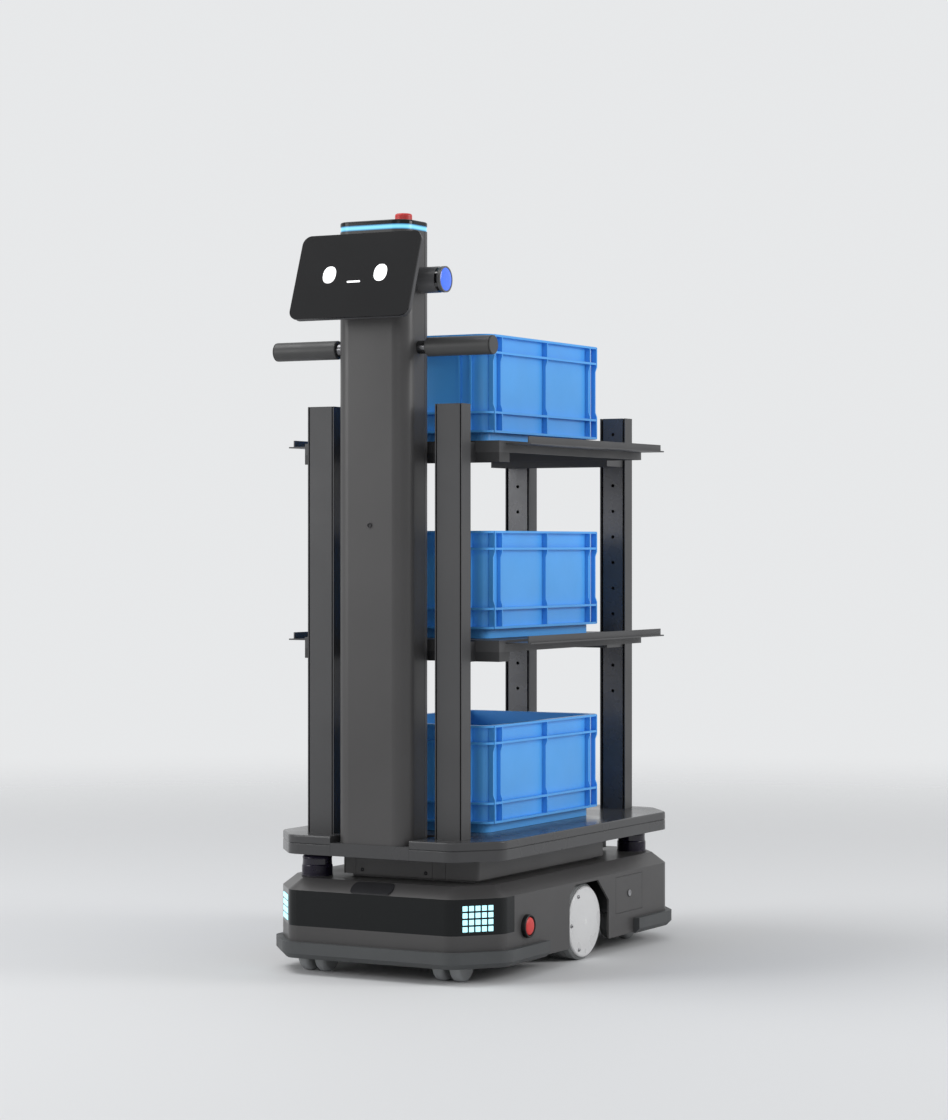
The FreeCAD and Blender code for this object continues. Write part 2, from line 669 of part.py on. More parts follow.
def motor_saddle():
    centre = motor_outer - 23
    across = (centre - saddle_width / 2, centre + saddle_width / 2)
    feet = box("saddle_feet", across, (-motor_radius * 2, motor_radius * 2), (plate_high, plate_high + saddle_height))
    arch = box("saddle_arch", across, (-motor_radius - 10, motor_radius + 10),
               (plate_high, axle_height + motor_radius + 8))
    seat = rod("saddle_seat", "x", motor_radius, (motor_inner, motor_outer + 10), (0, axle_height))
    return cut("saddle_cut", fuse("saddle_solid", feet, arch), seat)


def battery_pack():
    case = box("battery_case", (-battery_half_w, battery_half_w), (battery_start, battery_start + battery_length),
               (plate_high, plate_high + battery_height - 8))
    lid = box("battery_lid", (4 - battery_half_w, battery_half_w - 4),
              (battery_start + 4, battery_start + battery_length - 4),
              (plate_high + battery_height - 8, plate_high + battery_height - 3))
    plug = box("battery_plug", (-25, 25), (battery_start - 12, battery_start), (plate_high + 10, plate_high + 34))
    return fuse("battery_solid", case, lid, plug)


def controller():
    start = -controller_start
    case = box("controller_case", (-controller_half_w, controller_half_w), (start, start + controller_length),
               (plate_high, plate_high + controller_height))
    fins = [box(f"controller_fin_{i}", (-controller_half_w, controller_half_w),
                (start + 8 + 14 * i, start + 11 + 14 * i),
                (plate_high + controller_height, plate_high + controller_height + 12)) for i in range(9)]
    return fuse("controller_solid", case, *fins)


motor = drive_motor()
node("chassis_plate", chassis_plate())
node("wheel_liners", both_sides("liners", wheel_liner()))
node("drive_motors", both_sides("motors", motor))
node("motor_saddles", both_sides("saddles", motor_saddle()))
node("battery_pack", battery_pack())
node("controller", controller())


# Drive wheels

def rounded_rims(body, radius, rounding):
    """Round the circular edges of one radius on a turned piece."""
    doc.recompute()
    solid = body.Tip
    names = []
    for i, edge in enumerate(solid.Shape.Edges):
        if isinstance(edge.Curve, Part.Circle) and abs(edge.Curve.Radius - as_size(radius).number) < 1e-4:
            names.append(f"Edge{i + 1}")
    fillet = body.newObject("PartDesign::Fillet", body.Name + "_edge")
    fillet.Base = (solid, names)
    bind(fillet, "Radius", rounding)
    return body


def tyre():
    rim = axle_height - tyre_depth
    width = tyre_width
    groove = axle_height - 2.5
    profile = [
        (rim, 0), (axle_height - 3, 0), (axle_height, 3),
        (axle_height, width * 0.3), (groove, width * 0.3 + 1), (groove, width * 0.3 + 3),
        (axle_height, width * 0.3 + 4), (axle_height, width * 0.7 - 4), (groove, width * 0.7 - 3),
        (groove, width * 0.7 - 1), (axle_height, width * 0.7), (axle_height, width - 3),
        (axle_height - 3, width), (rim, width),
    ]
    return lathe("tyre_turned", profile, TURNS["x"], (wheel_outer - width, 0, axle_height))


def hub():
    rim = axle_height - tyre_depth
    width = tyre_width
    inner_end = motor_outer - wheel_outer + width - 36
    profile = [
        (0, inner_end), (axle_radius, inner_end), (axle_radius, -4), (22, -4), (22, 20), (rim - 6, 20),
        (rim - 6, 2), (rim, 2), (rim, width), (rim - 6, width), (rim - 6, 28), (22, 28), (22, width), (0, width),
    ]
    return lathe("hub_turned", profile, TURNS["x"], (wheel_outer - width, 0, axle_height))


def cover_disc():
    profile = [
        (0, 0), (disc_radius, 0), (disc_radius, disc_thick * 0.45), (disc_radius - 2, disc_thick * 0.7),
        (disc_radius * 0.6, disc_thick * 0.93), (0, disc_thick),
    ]
    return lathe("disc_turned", profile, TURNS["x"], (wheel_outer, 0, axle_height))


for label, part in (("drive_tyre", tyre()), ("drive_hub", hub()), ("wheel_disc", cover_disc())):
    node(label + "_right", part)
    node(label + "_left", mirrored(label + "_mirror", part, Vector(1, 0, 0)))


# Swivel casters

race_low = plate_low - caster_plate_thick - race_height
caster_axle = (-caster_trail, caster_radius)


def caster_mount():
    half = caster_plate / 2
    top = box("caster_top", (-half, half), (-half, half), (plate_low - caster_plate_thick, plate_low))
    race = rod("caster_race", "z", race_radius, (race_low, plate_low - caster_plate_thick), (0, 0))
    bore = rod("caster_bore", "z", kingpin_radius + running_fit, (race_low - 1, plate_low - 2), (0, 0))
    return cut("caster_mount_cut", fuse("caster_mount_solid", top, race), bore)


def caster_fork():
    crown_top = race_low - soft_gap
    crown_low = caster_radius * 2 + 2
    web = caster_gap / 2 - 1
    crown = rod("caster_crown", "z", race_radius - 2, (crown_low, crown_top), (0, 0))
    kingpin = rod("caster_kingpin", "z", kingpin_radius, (crown_low, plate_low - 3), (0, 0))
    arm = prism("caster_arm", "YZ", [
        (16, crown_low + 1), (-20, crown_low + 1), (-caster_trail - 9, caster_radius + 7),
        (-caster_trail - 9, caster_radius - 8), (9 - caster_trail, caster_radius - 8), (16, caster_radius * 1.7),
    ], -web, web)
    reach = caster_gap / 2 + caster_tread
    pin = rod("caster_axle", "x", caster_pin, (-reach, reach), caster_axle)
    return fuse("caster_fork_solid", crown, kingpin, arm, pin)


def caster_wheels():
    wheel = lathe("caster_wheel", [
        (caster_pin + running_fit, 0), (caster_radius, 0), (caster_radius, caster_tread),
        (caster_pin + running_fit, caster_tread),
    ], TURNS["x"], (caster_gap / 2, -caster_trail, caster_radius))
    rounded_rims(wheel, caster_radius, caster_round)
    return both_sides("caster_pair", wheel)


corners = {
    "front_left": (-caster_x, -caster_y),
    "front_right": (caster_x, -caster_y),
    "rear_left": (-caster_x, caster_y),
    "rear_right": (caster_x, caster_y),
}
one_mount = caster_mount()
one_fork = caster_fork()
one_pair = caster_wheels()
node("caster_mounts", group("caster_mount_set", *(
    shifted(f"caster_mount_{where}", one_mount, x, y) for where, (x, y) in corners.items())))
for where, (x, y) in corners.items():
    node(f"caster_fork_{where}", shifted(f"fork_{where}", one_fork, x, y))
    node(f"caster_wheels_{where}", shifted(f"wheels_{where}", one_pair, x, y))


# Stop buttons, service flap and laser scanners

def stop_button(name, radius, stem, head):
    """A stop button that points up: a domed head on a stem that runs into its switch."""
    body = lathe(name, [
        (0, -stem), (stem_radius, -stem), (stem_radius, 0), (radius, 0), (radius, head), (0, head),
    ])
    return rounded_rims(body, radius, button_round)


def ring(name, axis, outer, inner, along, centre):
    return cut(name, rod(name + "_outer", axis, outer, along, centre),
               rod(name + "_hole", axis, inner, (along[0] - 1, along[1] + 1), centre))


def side_switch():
    block = box("switch_body", (body_half_w - 38, body_half_w - 16),
                (-button_y - switch_half, -button_y + switch_half), (plate_high, button_z + switch_half))
    bore = rod("switch_bore", "x", stem_radius + soft_gap, (body_half_w - 36, body_half_w), (-button_y, button_z))
    return cut("switch_cut", block, bore)


def head_switch():
    """The block under the cap that the head's button presses into."""
    block = box("head_switch_body", (stop_x - 20, stop_x + 20), (-stop_y - 12, -stop_y + 12),
                (mast_top - 20, ring_light_high))
    bore = rod("head_switch_bore", "z", stem_radius + soft_gap, (mast_top - 14, ring_light_high + 1),
               (stop_x, -stop_y))
    return cut("head_switch_cut", block, bore)


def charge_socket():
    back = body_half_w - shell_wall - socket_depth - 4
    front = back + 4
    middle = flap_front + (flap_rear - flap_front) / 2
    panel = box("socket_panel", (back, front), (flap_front - 8, flap_rear + 8), (plate_high, hollow_high))
    collar = rod("socket_collar", "x", 17, (front, front + 9), (middle - 22, 112))
    hole = rod("socket_hole", "x", 12, (front + 1, front + 10), (middle - 22, 112))
    pins = [rod(f"socket_pin_{i}", "x", 2.5, (front, front + 7), (middle - 22 + dy, 112)) for i, dy in
            enumerate((-6, 6))]
    switch = box("socket_switch", (front, front + 6), (middle + 16, middle + 40), (102, 122))
    return fuse("socket_solid", cut("socket_cut", fuse("socket_base", panel, collar), hole), *pins, switch)


side_ring = ring("side_ring", "x", ring_radius, button_radius + soft_gap,
                 (body_half_w, body_half_w + ring_proud), (-button_y, button_z))
node("stop_rings", both_sides("side_rings", side_ring))
side_stop = stop_button("side_stop", button_radius, 30, button_proud - soft_gap)
place(side_stop, body_half_w + soft_gap, -button_y, button_z, TURNS["x"])
head_stop_low = ring_light_high + button_travel + soft_gap
head_stop = stop_button("head_stop", head_stop_radius, 12, cap_top + head_stop_proud - head_stop_low)
place(head_stop, stop_x, -stop_y, head_stop_low)
node("stop_button_right", side_stop)
node("stop_button_left", mirrored("side_stop_left", side_stop, Vector(1, 0, 0)))
node("stop_button_head", head_stop)
node("switch_blocks", group("switches", both_sides("side_switches", side_switch()), head_switch()))
flap = box("flap", (body_half_w - flap_thick, body_half_w), (flap_front, flap_rear), (flap_low, flap_high))
lock = rod("lock", "x", lock_radius, (body_half_w - 1, body_half_w + 1),
           (flap_front + (flap_rear - flap_front) / 2 + 4, 105))
node("service_flap", fuse("flap_solid", flap, lock))
node("charge_socket", charge_socket())

lidar = lathe("lidar_turned", [
    (0, 0), (lidar_radius, 0), (lidar_radius, 4), (lidar_radius - 2, 4.6), (lidar_radius - 2, 6.4),
    (lidar_radius, 7), (lidar_radius, 9), (lidar_radius - 2, 9.6), (lidar_radius - 2, 11.4),
    (lidar_radius, 12), (lidar_radius, 14), (lidar_radius - 2, 14.6), (lidar_radius - 2, 16.4),
    (lidar_radius, 17), (lidar_radius, 19), (lidar_radius - 4, 19), (lidar_radius - 4, 31),
    (lidar_radius, 31), (lidar_radius, lidar_height - 4), (lidar_radius - 2, lidar_height), (0, lidar_height),
])
window = lathe("lidar_window", [
    (lidar_radius - 4, 19), (lidar_radius - 0.8, 19), (lidar_radius - 0.8, 31), (lidar_radius - 4, 31),
])
node("lidars", group("lidar_set", shifted("lidar_at_front", lidar, -lidar_x, -lidar_y, shell_top),
                     shifted("lidar_at_rear", lidar, lidar_x, lidar_y, shell_top)))
node("lidar_windows", group("windows", shifted("window_front", window, -lidar_x, -lidar_y, shell_top),
                            shifted("window_rear", window, lidar_x, lidar_y, shell_top)))


# Pedestal and loading platform

def step_outline(inset):
    """The pedestal's plan: a rectangle with two opposite corners stepped back for the scanners."""
    wide = pedestal_half_w - inset
    long = pedestal_half_l - inset
    notch_x = pedestal_notch_x - inset
    notch_y = pedestal_notch_y - inset
    return [
        (-notch_x, -long), (wide, -long), (wide, notch_y), (notch_x, notch_y),
        (notch_x, long), (-wide, long), (-wide, -notch_y), (-notch_x, -notch_y),
    ]


def pedestal():
    skirt = prism("pedestal_skirt", "XY", step_outline(0), pedestal_low, deck_low, 7)
    neck = prism("pedestal_base", "XY", step_outline(pedestal_neck), shell_top, pedestal_low)
    hollow = prism("pedestal_hollow", "XY", step_outline(pedestal_wall), pedestal_low + 5, deck_low + 1)
    duct = box("pedestal_duct", (-duct_half_w, duct_half_w), (-duct_half_l, duct_half_l),
               (shell_top - 1, deck_low))
    half = panel_half_w + flap_seam
    recess = box("panel_recess", (-half, half), (-pedestal_half_l - 1, panel_thick - pedestal_half_l),
                 (pedestal_low - 1, deck_low + 1))
    seam = panel_half_w + 27
    grooves = both_sides("pedestal_grooves", box(
        "pedestal_groove", (seam, seam + flap_seam), (-pedestal_half_l - 1, 1.2 - pedestal_half_l),
        (pedestal_low - 1, deck_low + 1)))
    return cut("pedestal_cut", fuse("pedestal_solid", skirt, neck), hollow, duct, recess, grooves)


def deck_notch(name, grow):
    return box(name, (-foot_half_w - grow, foot_half_w + grow), (-far, -foot_rear + grow),
               (deck_low - 1, deck_top + 1))


def deck_frame():
    blank = plan("frame_blank", 0, deck_low, deck_split)
    bevel_face(blank, True, deck_edge, deck_edge, body_half_w - deck_edge)
    wide = body_half_w - deck_border
    start = deck_border - foot_rear
    long = (-start - start - deck_rib * 2) / 3
    starts = [start + (long + deck_rib) * i for i in range(3)]
    pockets = [box(f"frame_pocket_{i}", (-wide, wide), (near, near + long), (deck_low + deck_floor, deck_split + 1))
               for i, near in enumerate(starts)]
    return cut("frame_cut", blank, deck_notch("frame_notch", soft_gap), *pockets)


def deck_plate():
    blank = plan("deck_blank", 0, deck_split, deck_top)
    bevel_face(blank, False, deck_edge, deck_edge, body_half_w - deck_edge)
    round_face(blank, True, deck_round)
    return cut("deck_cut", blank, deck_notch("deck_notch", soft_gap))


node("pedestal", pedestal())
node("pedestal_plate", box("front_panel", (-panel_half_w, panel_half_w),
                           (-pedestal_half_l, panel_thick - pedestal_half_l), (pedestal_low, deck_low)))
node("deck_frame", deck_frame())
node("deck_plate", deck_plate())
node("column_foot", box("foot", (-foot_half_w, foot_half_w), (-body_half_l, -foot_rear), (deck_low, foot_top)))


# Mast and head

def mast_plan(name, inset, low, high, rounding=None):
    half = mast_half_w - inset
    return prism(name, "XY", [
        (-half, inset - mast_front), (half, inset - mast_front), (half, -mast_rear - inset),
        (-half, -mast_rear - inset)], low, high, rounding or mast_round - inset)


def mast_cover(name, front):
    tube = cut(name + "_tube", mast_plan(name + "_outside", 0, foot_top, mast_top),
               mast_plan(name + "_inside", mast_wall, foot_top - 1, mast_top + 1))
    low, high = (-far, -mast_seam - mast_seam_gap / 2) if front else (-mast_seam + mast_seam_gap / 2, far)
    return common(name, tube, box(name + "_side", (-far, far), (low, high), (0, mast_top + 1)))


mast_middle = (mast_front + mast_rear) / 2


def mast_core(name, half, low, high):
    return box(name, (-half, half), (-mast_middle - half, half - mast_middle), (low, high))


def bulkheads():
    """Plates that hold the covers on the profile."""
    core = mast_core("bulkhead_space", profile_half, foot_top, mast_top)
    levels = (foot_top + 25, mast_top - 610, mast_top - 250, profile_top - 4)
    plates = [cut(f"bulkhead_{i}", mast_plan(f"bulkhead_blank_{i}", mast_wall, level, level + 4), core)
              for i, level in enumerate(levels)]
    return group("bulkhead_set", *plates)


profile_top = mast_top - profile_drop
port = rod("port_hole", "y", port_radius, (-mast_front - 1, mast_wall + 1 - mast_front), (0, port_height))
node("column_front", cut("front_cover", mast_cover("front_cover_blank", True), port))
node("column_rear", mast_cover("rear_cover", False))
node("column_profile", cut("profile", mast_core("profile_outer", profile_half, foot_top, profile_top),
                           mast_core("profile_inner", profile_half - profile_wall, foot_top - 1, profile_top + 1)))
node("column_bulkheads", bulkheads())
node("light_ring", cut("ring_light", mast_plan("ring_light_outer", 1, mast_top, ring_light_high),
                       mast_plan("ring_light_inner", 12, mast_top - 1, ring_light_high + 1)))
cap = mast_plan("cap_blank", 0, ring_light_high, cap_top)
round_face(cap, True, 3)
stop_hole = rod("cap_hole", "z", head_stop_radius + soft_gap, (mast_top, cap_top + 1), (stop_x, -stop_y))
node("top_cap", cut("cap_cut", cap, stop_hole))


# Screen

def leaning(part):
    """Lean a piece back about the middle of the screen's face."""
    turn = Rotation(Vector(-1, 0, 0), screen_tilt.number)
    place(part, 0, -screen_y, screen_z, turn)
    part.setExpression("Placement.Rotation.Angle", screen_tilt.text)
    return part


def screen_slab(name, inset, low, high):
    wide = screen_width / 2 - inset
    tall = screen_height / 2 - inset
    return prism(name, "XZ", [(-wide, -tall), (wide, -tall), (wide, tall), (-wide, tall)],
                 low, high, screen_round - inset)


def screen_shell():
    front = screen_slab("housing_front", screen_inset, screen_glass, screen_glass + screen_depth)
    doc.recompute()
    solid = front.Tip
    faces = solid.Shape.Faces
    index = max(range(len(faces)), key=lambda i: faces[i].CenterOfMass.y)
    bevel = front.newObject("PartDesign::Chamfer", "housing_bevel")
    bevel.Base = (solid, [f"Face{index + 1}"])
    bevel.Size = 8
    return front


housing = leaning(screen_shell())
node("screen_housing", housing)
node("screen_glass", leaning(screen_slab("glass_slab", 0, 0, screen_glass)))
bracket = box("bracket_block", (-bracket_half_w, bracket_half_w), (-screen_y + 13, -mast_front),
              (screen_z - 23, screen_z + 18))
node("screen_bracket", cut("bracket_cut", bracket, housing))


# Side lamps and handles

outside_mast = mast_plan("mast_space", 0, foot_top, mast_top)
rim_start = lamp_end - lamp_rim
lens_seat = lamp_end - lens_depth
groove = ring("lamp_groove_cut", "x", lamp_radius + 1, lamp_radius - lamp_groove_depth,
              (rim_start - lamp_groove, rim_start), (-lamp_y, lamp_z))
lens_hole = rod("lens_hole", "x", lens_radius, (lens_seat, lamp_end + 1), (-lamp_y, lamp_z))
barrel = rod("lamp_barrel", "x", lamp_radius, (mast_half_w - mast_round, lamp_end), (-lamp_y, lamp_z))
lens = lathe("lamp_lens", [
    (0, 0), (lens_radius, 0), (lens_radius, lens_depth - 0.6), (lens_radius - 2, lens_depth + 0.2),
    (lens_radius * 0.6, lens_depth + 0.9), (0, lens_depth + 1.2),
], TURNS["x"], (lens_seat, -lamp_y, lamp_z))
node("lamp_tubes", both_sides("tubes", cut("lamp_cut", barrel, outside_mast, groove, lens_hole)))
node("lamp_lenses", both_sides("lenses", lens))

grip_length = grip_end - mast_half_w - collar_length
groove_start = grip_length - grip_groove * 2
grip_neck = grip_radius - grip_groove
grip = lathe("grip_turned", [
    (0, 0), (grip_radius - grip_round, 0), (grip_radius - grip_round * 0.3, grip_round * 0.3),
    (grip_radius, grip_round), (grip_radius, groove_start), (grip_neck, groove_start),
    (grip_neck, groove_start + grip_groove), (grip_radius - 0.4, groove_start + grip_groove),
    (grip_radius - 0.4, grip_length - 0.8), (grip_radius - 1.4, grip_length), (0, grip_length),
], TURNS["x"], (mast_half_w + collar_length, -grip_y, grip_z))
collar = rod("collar", "x", collar_radius, (mast_half_w, mast_half_w + collar_length), (-grip_y, grip_z))
node("handle_grips", both_sides("grips", grip))
node("handle_collars", both_sides("collars", collar))


# Shelf posts

def channel(name, x, y):
    """A post: two side walls on a web, with a cover strip on the web; y is its covered side and faces -Y."""
    wide = x + post_width
    gauge = post_sheet
    open_side = y + post_depth
    web = y + cover_sheet
    walls = prism(name + "_walls", "XY", [
        (x, y), (x + gauge, y), (x + gauge, web), (wide - gauge, web), (wide - gauge, y), (wide, y),
        (wide, open_side), (wide - gauge, open_side), (wide - gauge, web + gauge), (x + gauge, web + gauge),
        (x + gauge, open_side), (x, open_side),
    ], deck_top, post_top)
    edge = x + (post_width - cover_width) / 2
    return group(name, walls, box(name + "_cover", (edge, edge + cover_width), (y, web), (deck_top, post_top)))


def rail(name, x, y):
    """The perforated rail: a narrower channel that stands on the web and shows its face between the walls."""
    left = x + post_sheet + rail_gap
    right = x + post_width - post_sheet - rail_gap
    face = y + post_depth - rail_recess
    web = y + cover_sheet + post_sheet
    gauge = rail_sheet
    strip = prism(name + "_strip", "XY", [
        (left, web), (left + gauge, web), (left + gauge, face - gauge), (right - gauge, face - gauge),
        (right - gauge, web), (right, web), (right, face), (left, face),
    ], deck_top, post_top)
    holes = [rod(f"{name}_hole_{i}", "y", hole_radius, (face - gauge - 1, face + 1),
                 (x + post_width / 2, hole_first + hole_pitch * i)) for i in range(hole_count)]
    return cut(name, strip, group(name + "_holes", *holes))


front_channel = channel("front_channel", front_post_x, -front_post_y)
front_rail = rail("front_rail", front_post_x, -front_post_y)
rear_channel = mirrored("rear_channel", channel("rear_channel_blank", rear_post_x, -rear_post_y), Vector(0, 1, 0))
rear_rail = mirrored("rear_rail", rail("rear_rail_blank", rear_post_x, -rear_post_y), Vector(0, 1, 0))
node("post_channels", group("channels", both_sides("front_channels", front_channel),
                            both_sides("rear_channels", rear_channel)))
node("post_rails", group("rails", both_sides("front_rails", front_rail), both_sides("rear_rails", rear_rail)))


# Shelves

def shelf(name, top):
    low = top - tray_drop
    gauge = tray_sheet
    outer = box(name + "_outer", (-tray_half_w, tray_half_w), (-tray_front, tray_rear), (low, top))
    inner = box(name + "_inner", (gauge - tray_half_w, tray_half_w - gauge),
                (gauge - tray_front, tray_rear - gauge), (low - 1, top - gauge))
    wing_low_z = top - wing_low
    wing = box(name + "_wing", (tray_half_w - 1, wing_half_w), (-wing_half_l, wing_half_l),
               (wing_low_z, wing_low_z + gauge))
    rim = box(name + "_rim", (wing_half_w - rim_inset - gauge, wing_half_w - rim_inset),
              (5 - wing_half_l, wing_half_l), (wing_low_z, top + rim_height))
    sides = fuse(name + "_side", wing, rim)
    return fuse(name, cut(name + "_tray", outer, inner), sides, mirrored(name + "_left", sides, Vector(1, 0, 0)))


def pressed(name, x, y, z):
    """A bar of folded sheet, open below."""
    gauge = beam_sheet
    inner = box(name + "_inner", (x[0] + gauge, x[1] - gauge), (y[0] + gauge, y[1] - gauge), (z[0] - 1, z[1] - gauge))
    return cut(name, box(name + "_outer", x, y, z), inner)


def front_bar(name, top):
    """The bar under a tray's front edge, with a bracket to the rail in each front post."""
    low = top - bar_low
    bar = pressed(name + "_bar", (-tray_half_w, tray_half_w), (-tray_front, bar_depth - tray_front),
                  (low, top - tray_drop))
    bracket = pressed(name + "_bracket", (front_post_x + beam_inset, front_post_x + post_width - beam_inset),
                      (post_depth - rail_recess - front_post_y, -tray_front), (low, top - tray_sheet))
    return fuse(name, bar, bracket, mirrored(name + "_bracket_left", bracket, Vector(1, 0, 0)))


def rear_beam(name, top):
    half_w = rear_post_x + post_width - beam_inset
    return pressed(name, (-half_w, half_w), (tray_rear, rear_post_y - post_depth), (top - beam_low, top - beam_high))


shelf_levels = (("shelf_middle", shelf_middle_top), ("shelf_upper", shelf_upper_top))
node("shelves", group("shelf_set", *(shelf(label, top) for label, top in shelf_levels),
                      *(rear_beam(label + "_rear_beam", top) for label, top in shelf_levels)))
node("shelf_beams", group("bar_set", *(front_bar(label + "_front", top) for label, top in shelf_levels)))


# Totes

def tote_layer(name, inset, low, high, rounding):
    wide = tote_half_w - inset
    long = tote_half_l - inset
    return prism(name, "XY", [(-wide, -long), (wide, -long), (wide, long), (-wide, long)], low, high, rounding)


def tote():
    rib = tote_rib
    wall = tote_layer("tote_wall_block", rib, tote_base, tote_height, tote_round)
    foot = tote_layer("tote_foot", tote_base_inset, 0, tote_base, tote_round)
    levels = (tote_base, tote_rib_lower, tote_rib_upper, tote_height - tote_rib_high)
    rings = [tote_layer(f"tote_rib_{i}", 0, level, level + tote_rib_high, tote_round + 6)
             for i, level in enumerate(levels)]
    fins = []
    for side, reach, plane, spots in (
            ("long", tote_half_w, "XZ", (0, tote_fin_a, tote_fin_b)),
            ("short", tote_half_l, "YZ", (tote_fin_c, tote_fin_d))):
        outline = [
            (reach - rib - 2, tote_base + 1), (reach, tote_base + 1), (reach, tote_rib_lower + 8),
            (reach - rib / 3, tote_rib_lower + 17), (reach - rib / 3, tote_rib_upper - 13),
            (reach, tote_rib_upper - 4), (reach, tote_height - 1), (reach - rib - 2, tote_height - 1),
        ]
        half = tote_fin_thick / 2
        fin = prism(f"tote_fin_{side}", plane, outline, -half, half)
        copies = []
        for i, spot in enumerate(spots):
            for sign in (1,) if spot == 0 else (1, -1):
                move = as_size(spot) * sign
                at = {"y": move} if side == "long" else {"x": move}
                copies.append(shifted(f"tote_fin_{side}_{i}_{sign + 1}", fin, **at))
        across = group(f"tote_fins_{side}", *copies)
        normal = Vector(1, 0, 0) if side == "long" else Vector(0, 1, 0)
        fins += [across, mirrored(f"tote_fins_{side}_back", across, normal)]
    solid = fuse("tote_solid", wall, foot, *rings, *fins)
    inner = tote_layer("tote_inner", rib + tote_wall, tote_base + 4, tote_height + 1, tote_round - tote_wall)
    well = tote_layer("tote_well", tote_base_inset + tote_wall + 1, 4, tote_base + 5, tote_round - tote_wall)
    return cut("tote_cut", solid, inner, well)


one_tote = tote()
for label, level in (("tote_lower", deck_top), ("tote_middle", shelf_middle_top), ("tote_upper", shelf_upper_top)):
    node(label, shifted(label + "_copy", one_tote, 0, -tote_centre, level + soft_gap))


# Check every piece and write the nodes

doc.recompute()
for part in doc.Objects:
    if "Invalid" in part.State or "Error" in part.State:
        raise RuntimeError(f"{part.Name} did not compute: {part.State}")
os.makedirs("parts", exist_ok=True)
for label, part in nodes.items():
    shape = part.Shape
    if shape.isNull() or not shape.isValid():
        raise RuntimeError(f"{label} has no valid shape")
    shape.exportStep(f"parts/{label}.step")
    print(label, len(shape.Solids), round(shape.Volume), shape.BoundBox)
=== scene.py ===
import math

import bmesh
import bpy
from mathutils import Matrix, Vector


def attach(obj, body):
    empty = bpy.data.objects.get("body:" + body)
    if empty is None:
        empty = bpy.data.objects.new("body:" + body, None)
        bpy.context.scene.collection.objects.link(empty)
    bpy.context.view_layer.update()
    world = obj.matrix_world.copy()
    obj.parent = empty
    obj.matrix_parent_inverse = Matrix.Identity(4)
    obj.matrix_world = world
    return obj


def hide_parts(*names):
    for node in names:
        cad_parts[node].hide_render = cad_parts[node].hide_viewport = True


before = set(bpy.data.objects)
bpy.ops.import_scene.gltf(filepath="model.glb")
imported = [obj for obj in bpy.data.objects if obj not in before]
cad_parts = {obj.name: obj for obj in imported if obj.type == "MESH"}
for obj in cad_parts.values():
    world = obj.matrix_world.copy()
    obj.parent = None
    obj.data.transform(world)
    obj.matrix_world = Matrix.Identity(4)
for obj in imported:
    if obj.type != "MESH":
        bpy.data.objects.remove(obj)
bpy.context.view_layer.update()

# Autonomous mobile robot: the CAD solids get finishes and soft edges, small parts are added,
# and a few nodes are replaced by finer versions. Metres, +Z up, the front faces -Y.

# Where the drive axle lies along Y; most places are measured from it
AXLE = 0.03165
SIDES = (("right", 1), ("left", -1))

# The camera, solved for a picture of this height
PIXELS_HIGH = 1120
FOCAL_PIXELS = 2981.5
HORIZON_PIXEL = 544.7
SENSOR = 36
CAMERA_PLACE = (2.6709, AXLE - 4.8833, 0.760)
CAMERA_TURN = math.radians(28.8)

# Each lamp's watts, width, place and the point it faces
LAMPS = {
    "key": (52, 2.0, (-3.0, -3.4, 1.6), (0, 0, 0.6)),
    "fill": (14, 2.0, (1.6, -4.6, 2.4), (0, 0, 0.6)),
    "side": (86, 2.0, (4.2, 1.4, 2.2), (0, 0, 0.6)),
    "top": (72, 2.4, (-2.2, -1.2, 4.2), (0, 0, 0.3)),
}
BACKGROUND = (0.80, 0.81, 0.82, 1)
SKY = (0.96, 0.975, 1.0, 1)
SKY_STRENGTH = 0.55
FLOOR_COLOUR = (0.72, 0.725, 0.73, 1)
FLOOR_HALF = 30
# Between these distances the floor fades into the background
FLOOR_FADE = (1.6, 5.5)

# Edges sharper than this stay sharp in the shading, on the CAD nodes and on the small parts
NODE_SHARP = math.radians(28)
PIECE_SHARP = math.radians(30)
# Edges sharper than this are softened
BEVEL_ANGLE = math.radians(35)

# The lit ring near the mast's top: the middle of its height, and half its height
RING_MIDDLE = 1.31475
RING_HALF = 0.00475

# The leaning screen's face: its middle, its lean, and the eyes and mouth on it
SCREEN_MIDDLE = (0, AXLE - 0.454, 1.2275)
SCREEN_TILT = math.radians(19.7)
FACE_DEPTH = 0.0006
EYES = (("left", -0.0518), ("right", 0.0512))
EYE_UP = 0.0025
EYE_HALF_WIDTH = 0.0129
EYE_HALF_HEIGHT = 0.0158
EYE_FULLNESS = 0.88
MOUTH_UP = -0.0125
MOUTH_WIDTH = 0.028
MOUTH_HEIGHT = 0.0032
MOUTH_CORNER = 0.0015

# The wheels' cover discs and the screws in them
DISC_FACE = 0.2183
WHEEL_Z = 0.070
DISC_SCREW_CIRCLE = 0.055
DISC_SCREW_ANGLES = (120, 183, 243)
DISC_SCREW_HEAD = 0.0026

# The screws in the pedestal's front plate
PLATE_SCREW_X = 0.065
PLATE_SCREW_Y = AXLE - 0.320
PLATE_SCREW_Z = 0.181
PLATE_SCREW_HEAD = 0.0018
SCREW_RADIUS = 0.0034

# The small round port in the front of the mast; its plug stands a little deeper than its flange
PORT_Z = 0.794
PORT_FLANGE_Y = AXLE - 0.4030
PORT_PLUG_Y = AXLE - 0.4022

# Seats of the side stop buttons, the rings in the side lamps and the service flap's lock
STOP_X = 0.2275
STOP_Y = AXLE - 0.247
STOP_Z = 0.090
LAMP_X = 0.109
LAMP_Y = AXLE - 0.346
LAMP_Z = 1.2235
LOCK_SEAT = (0.2285, AXLE + 0.166, 0.106)

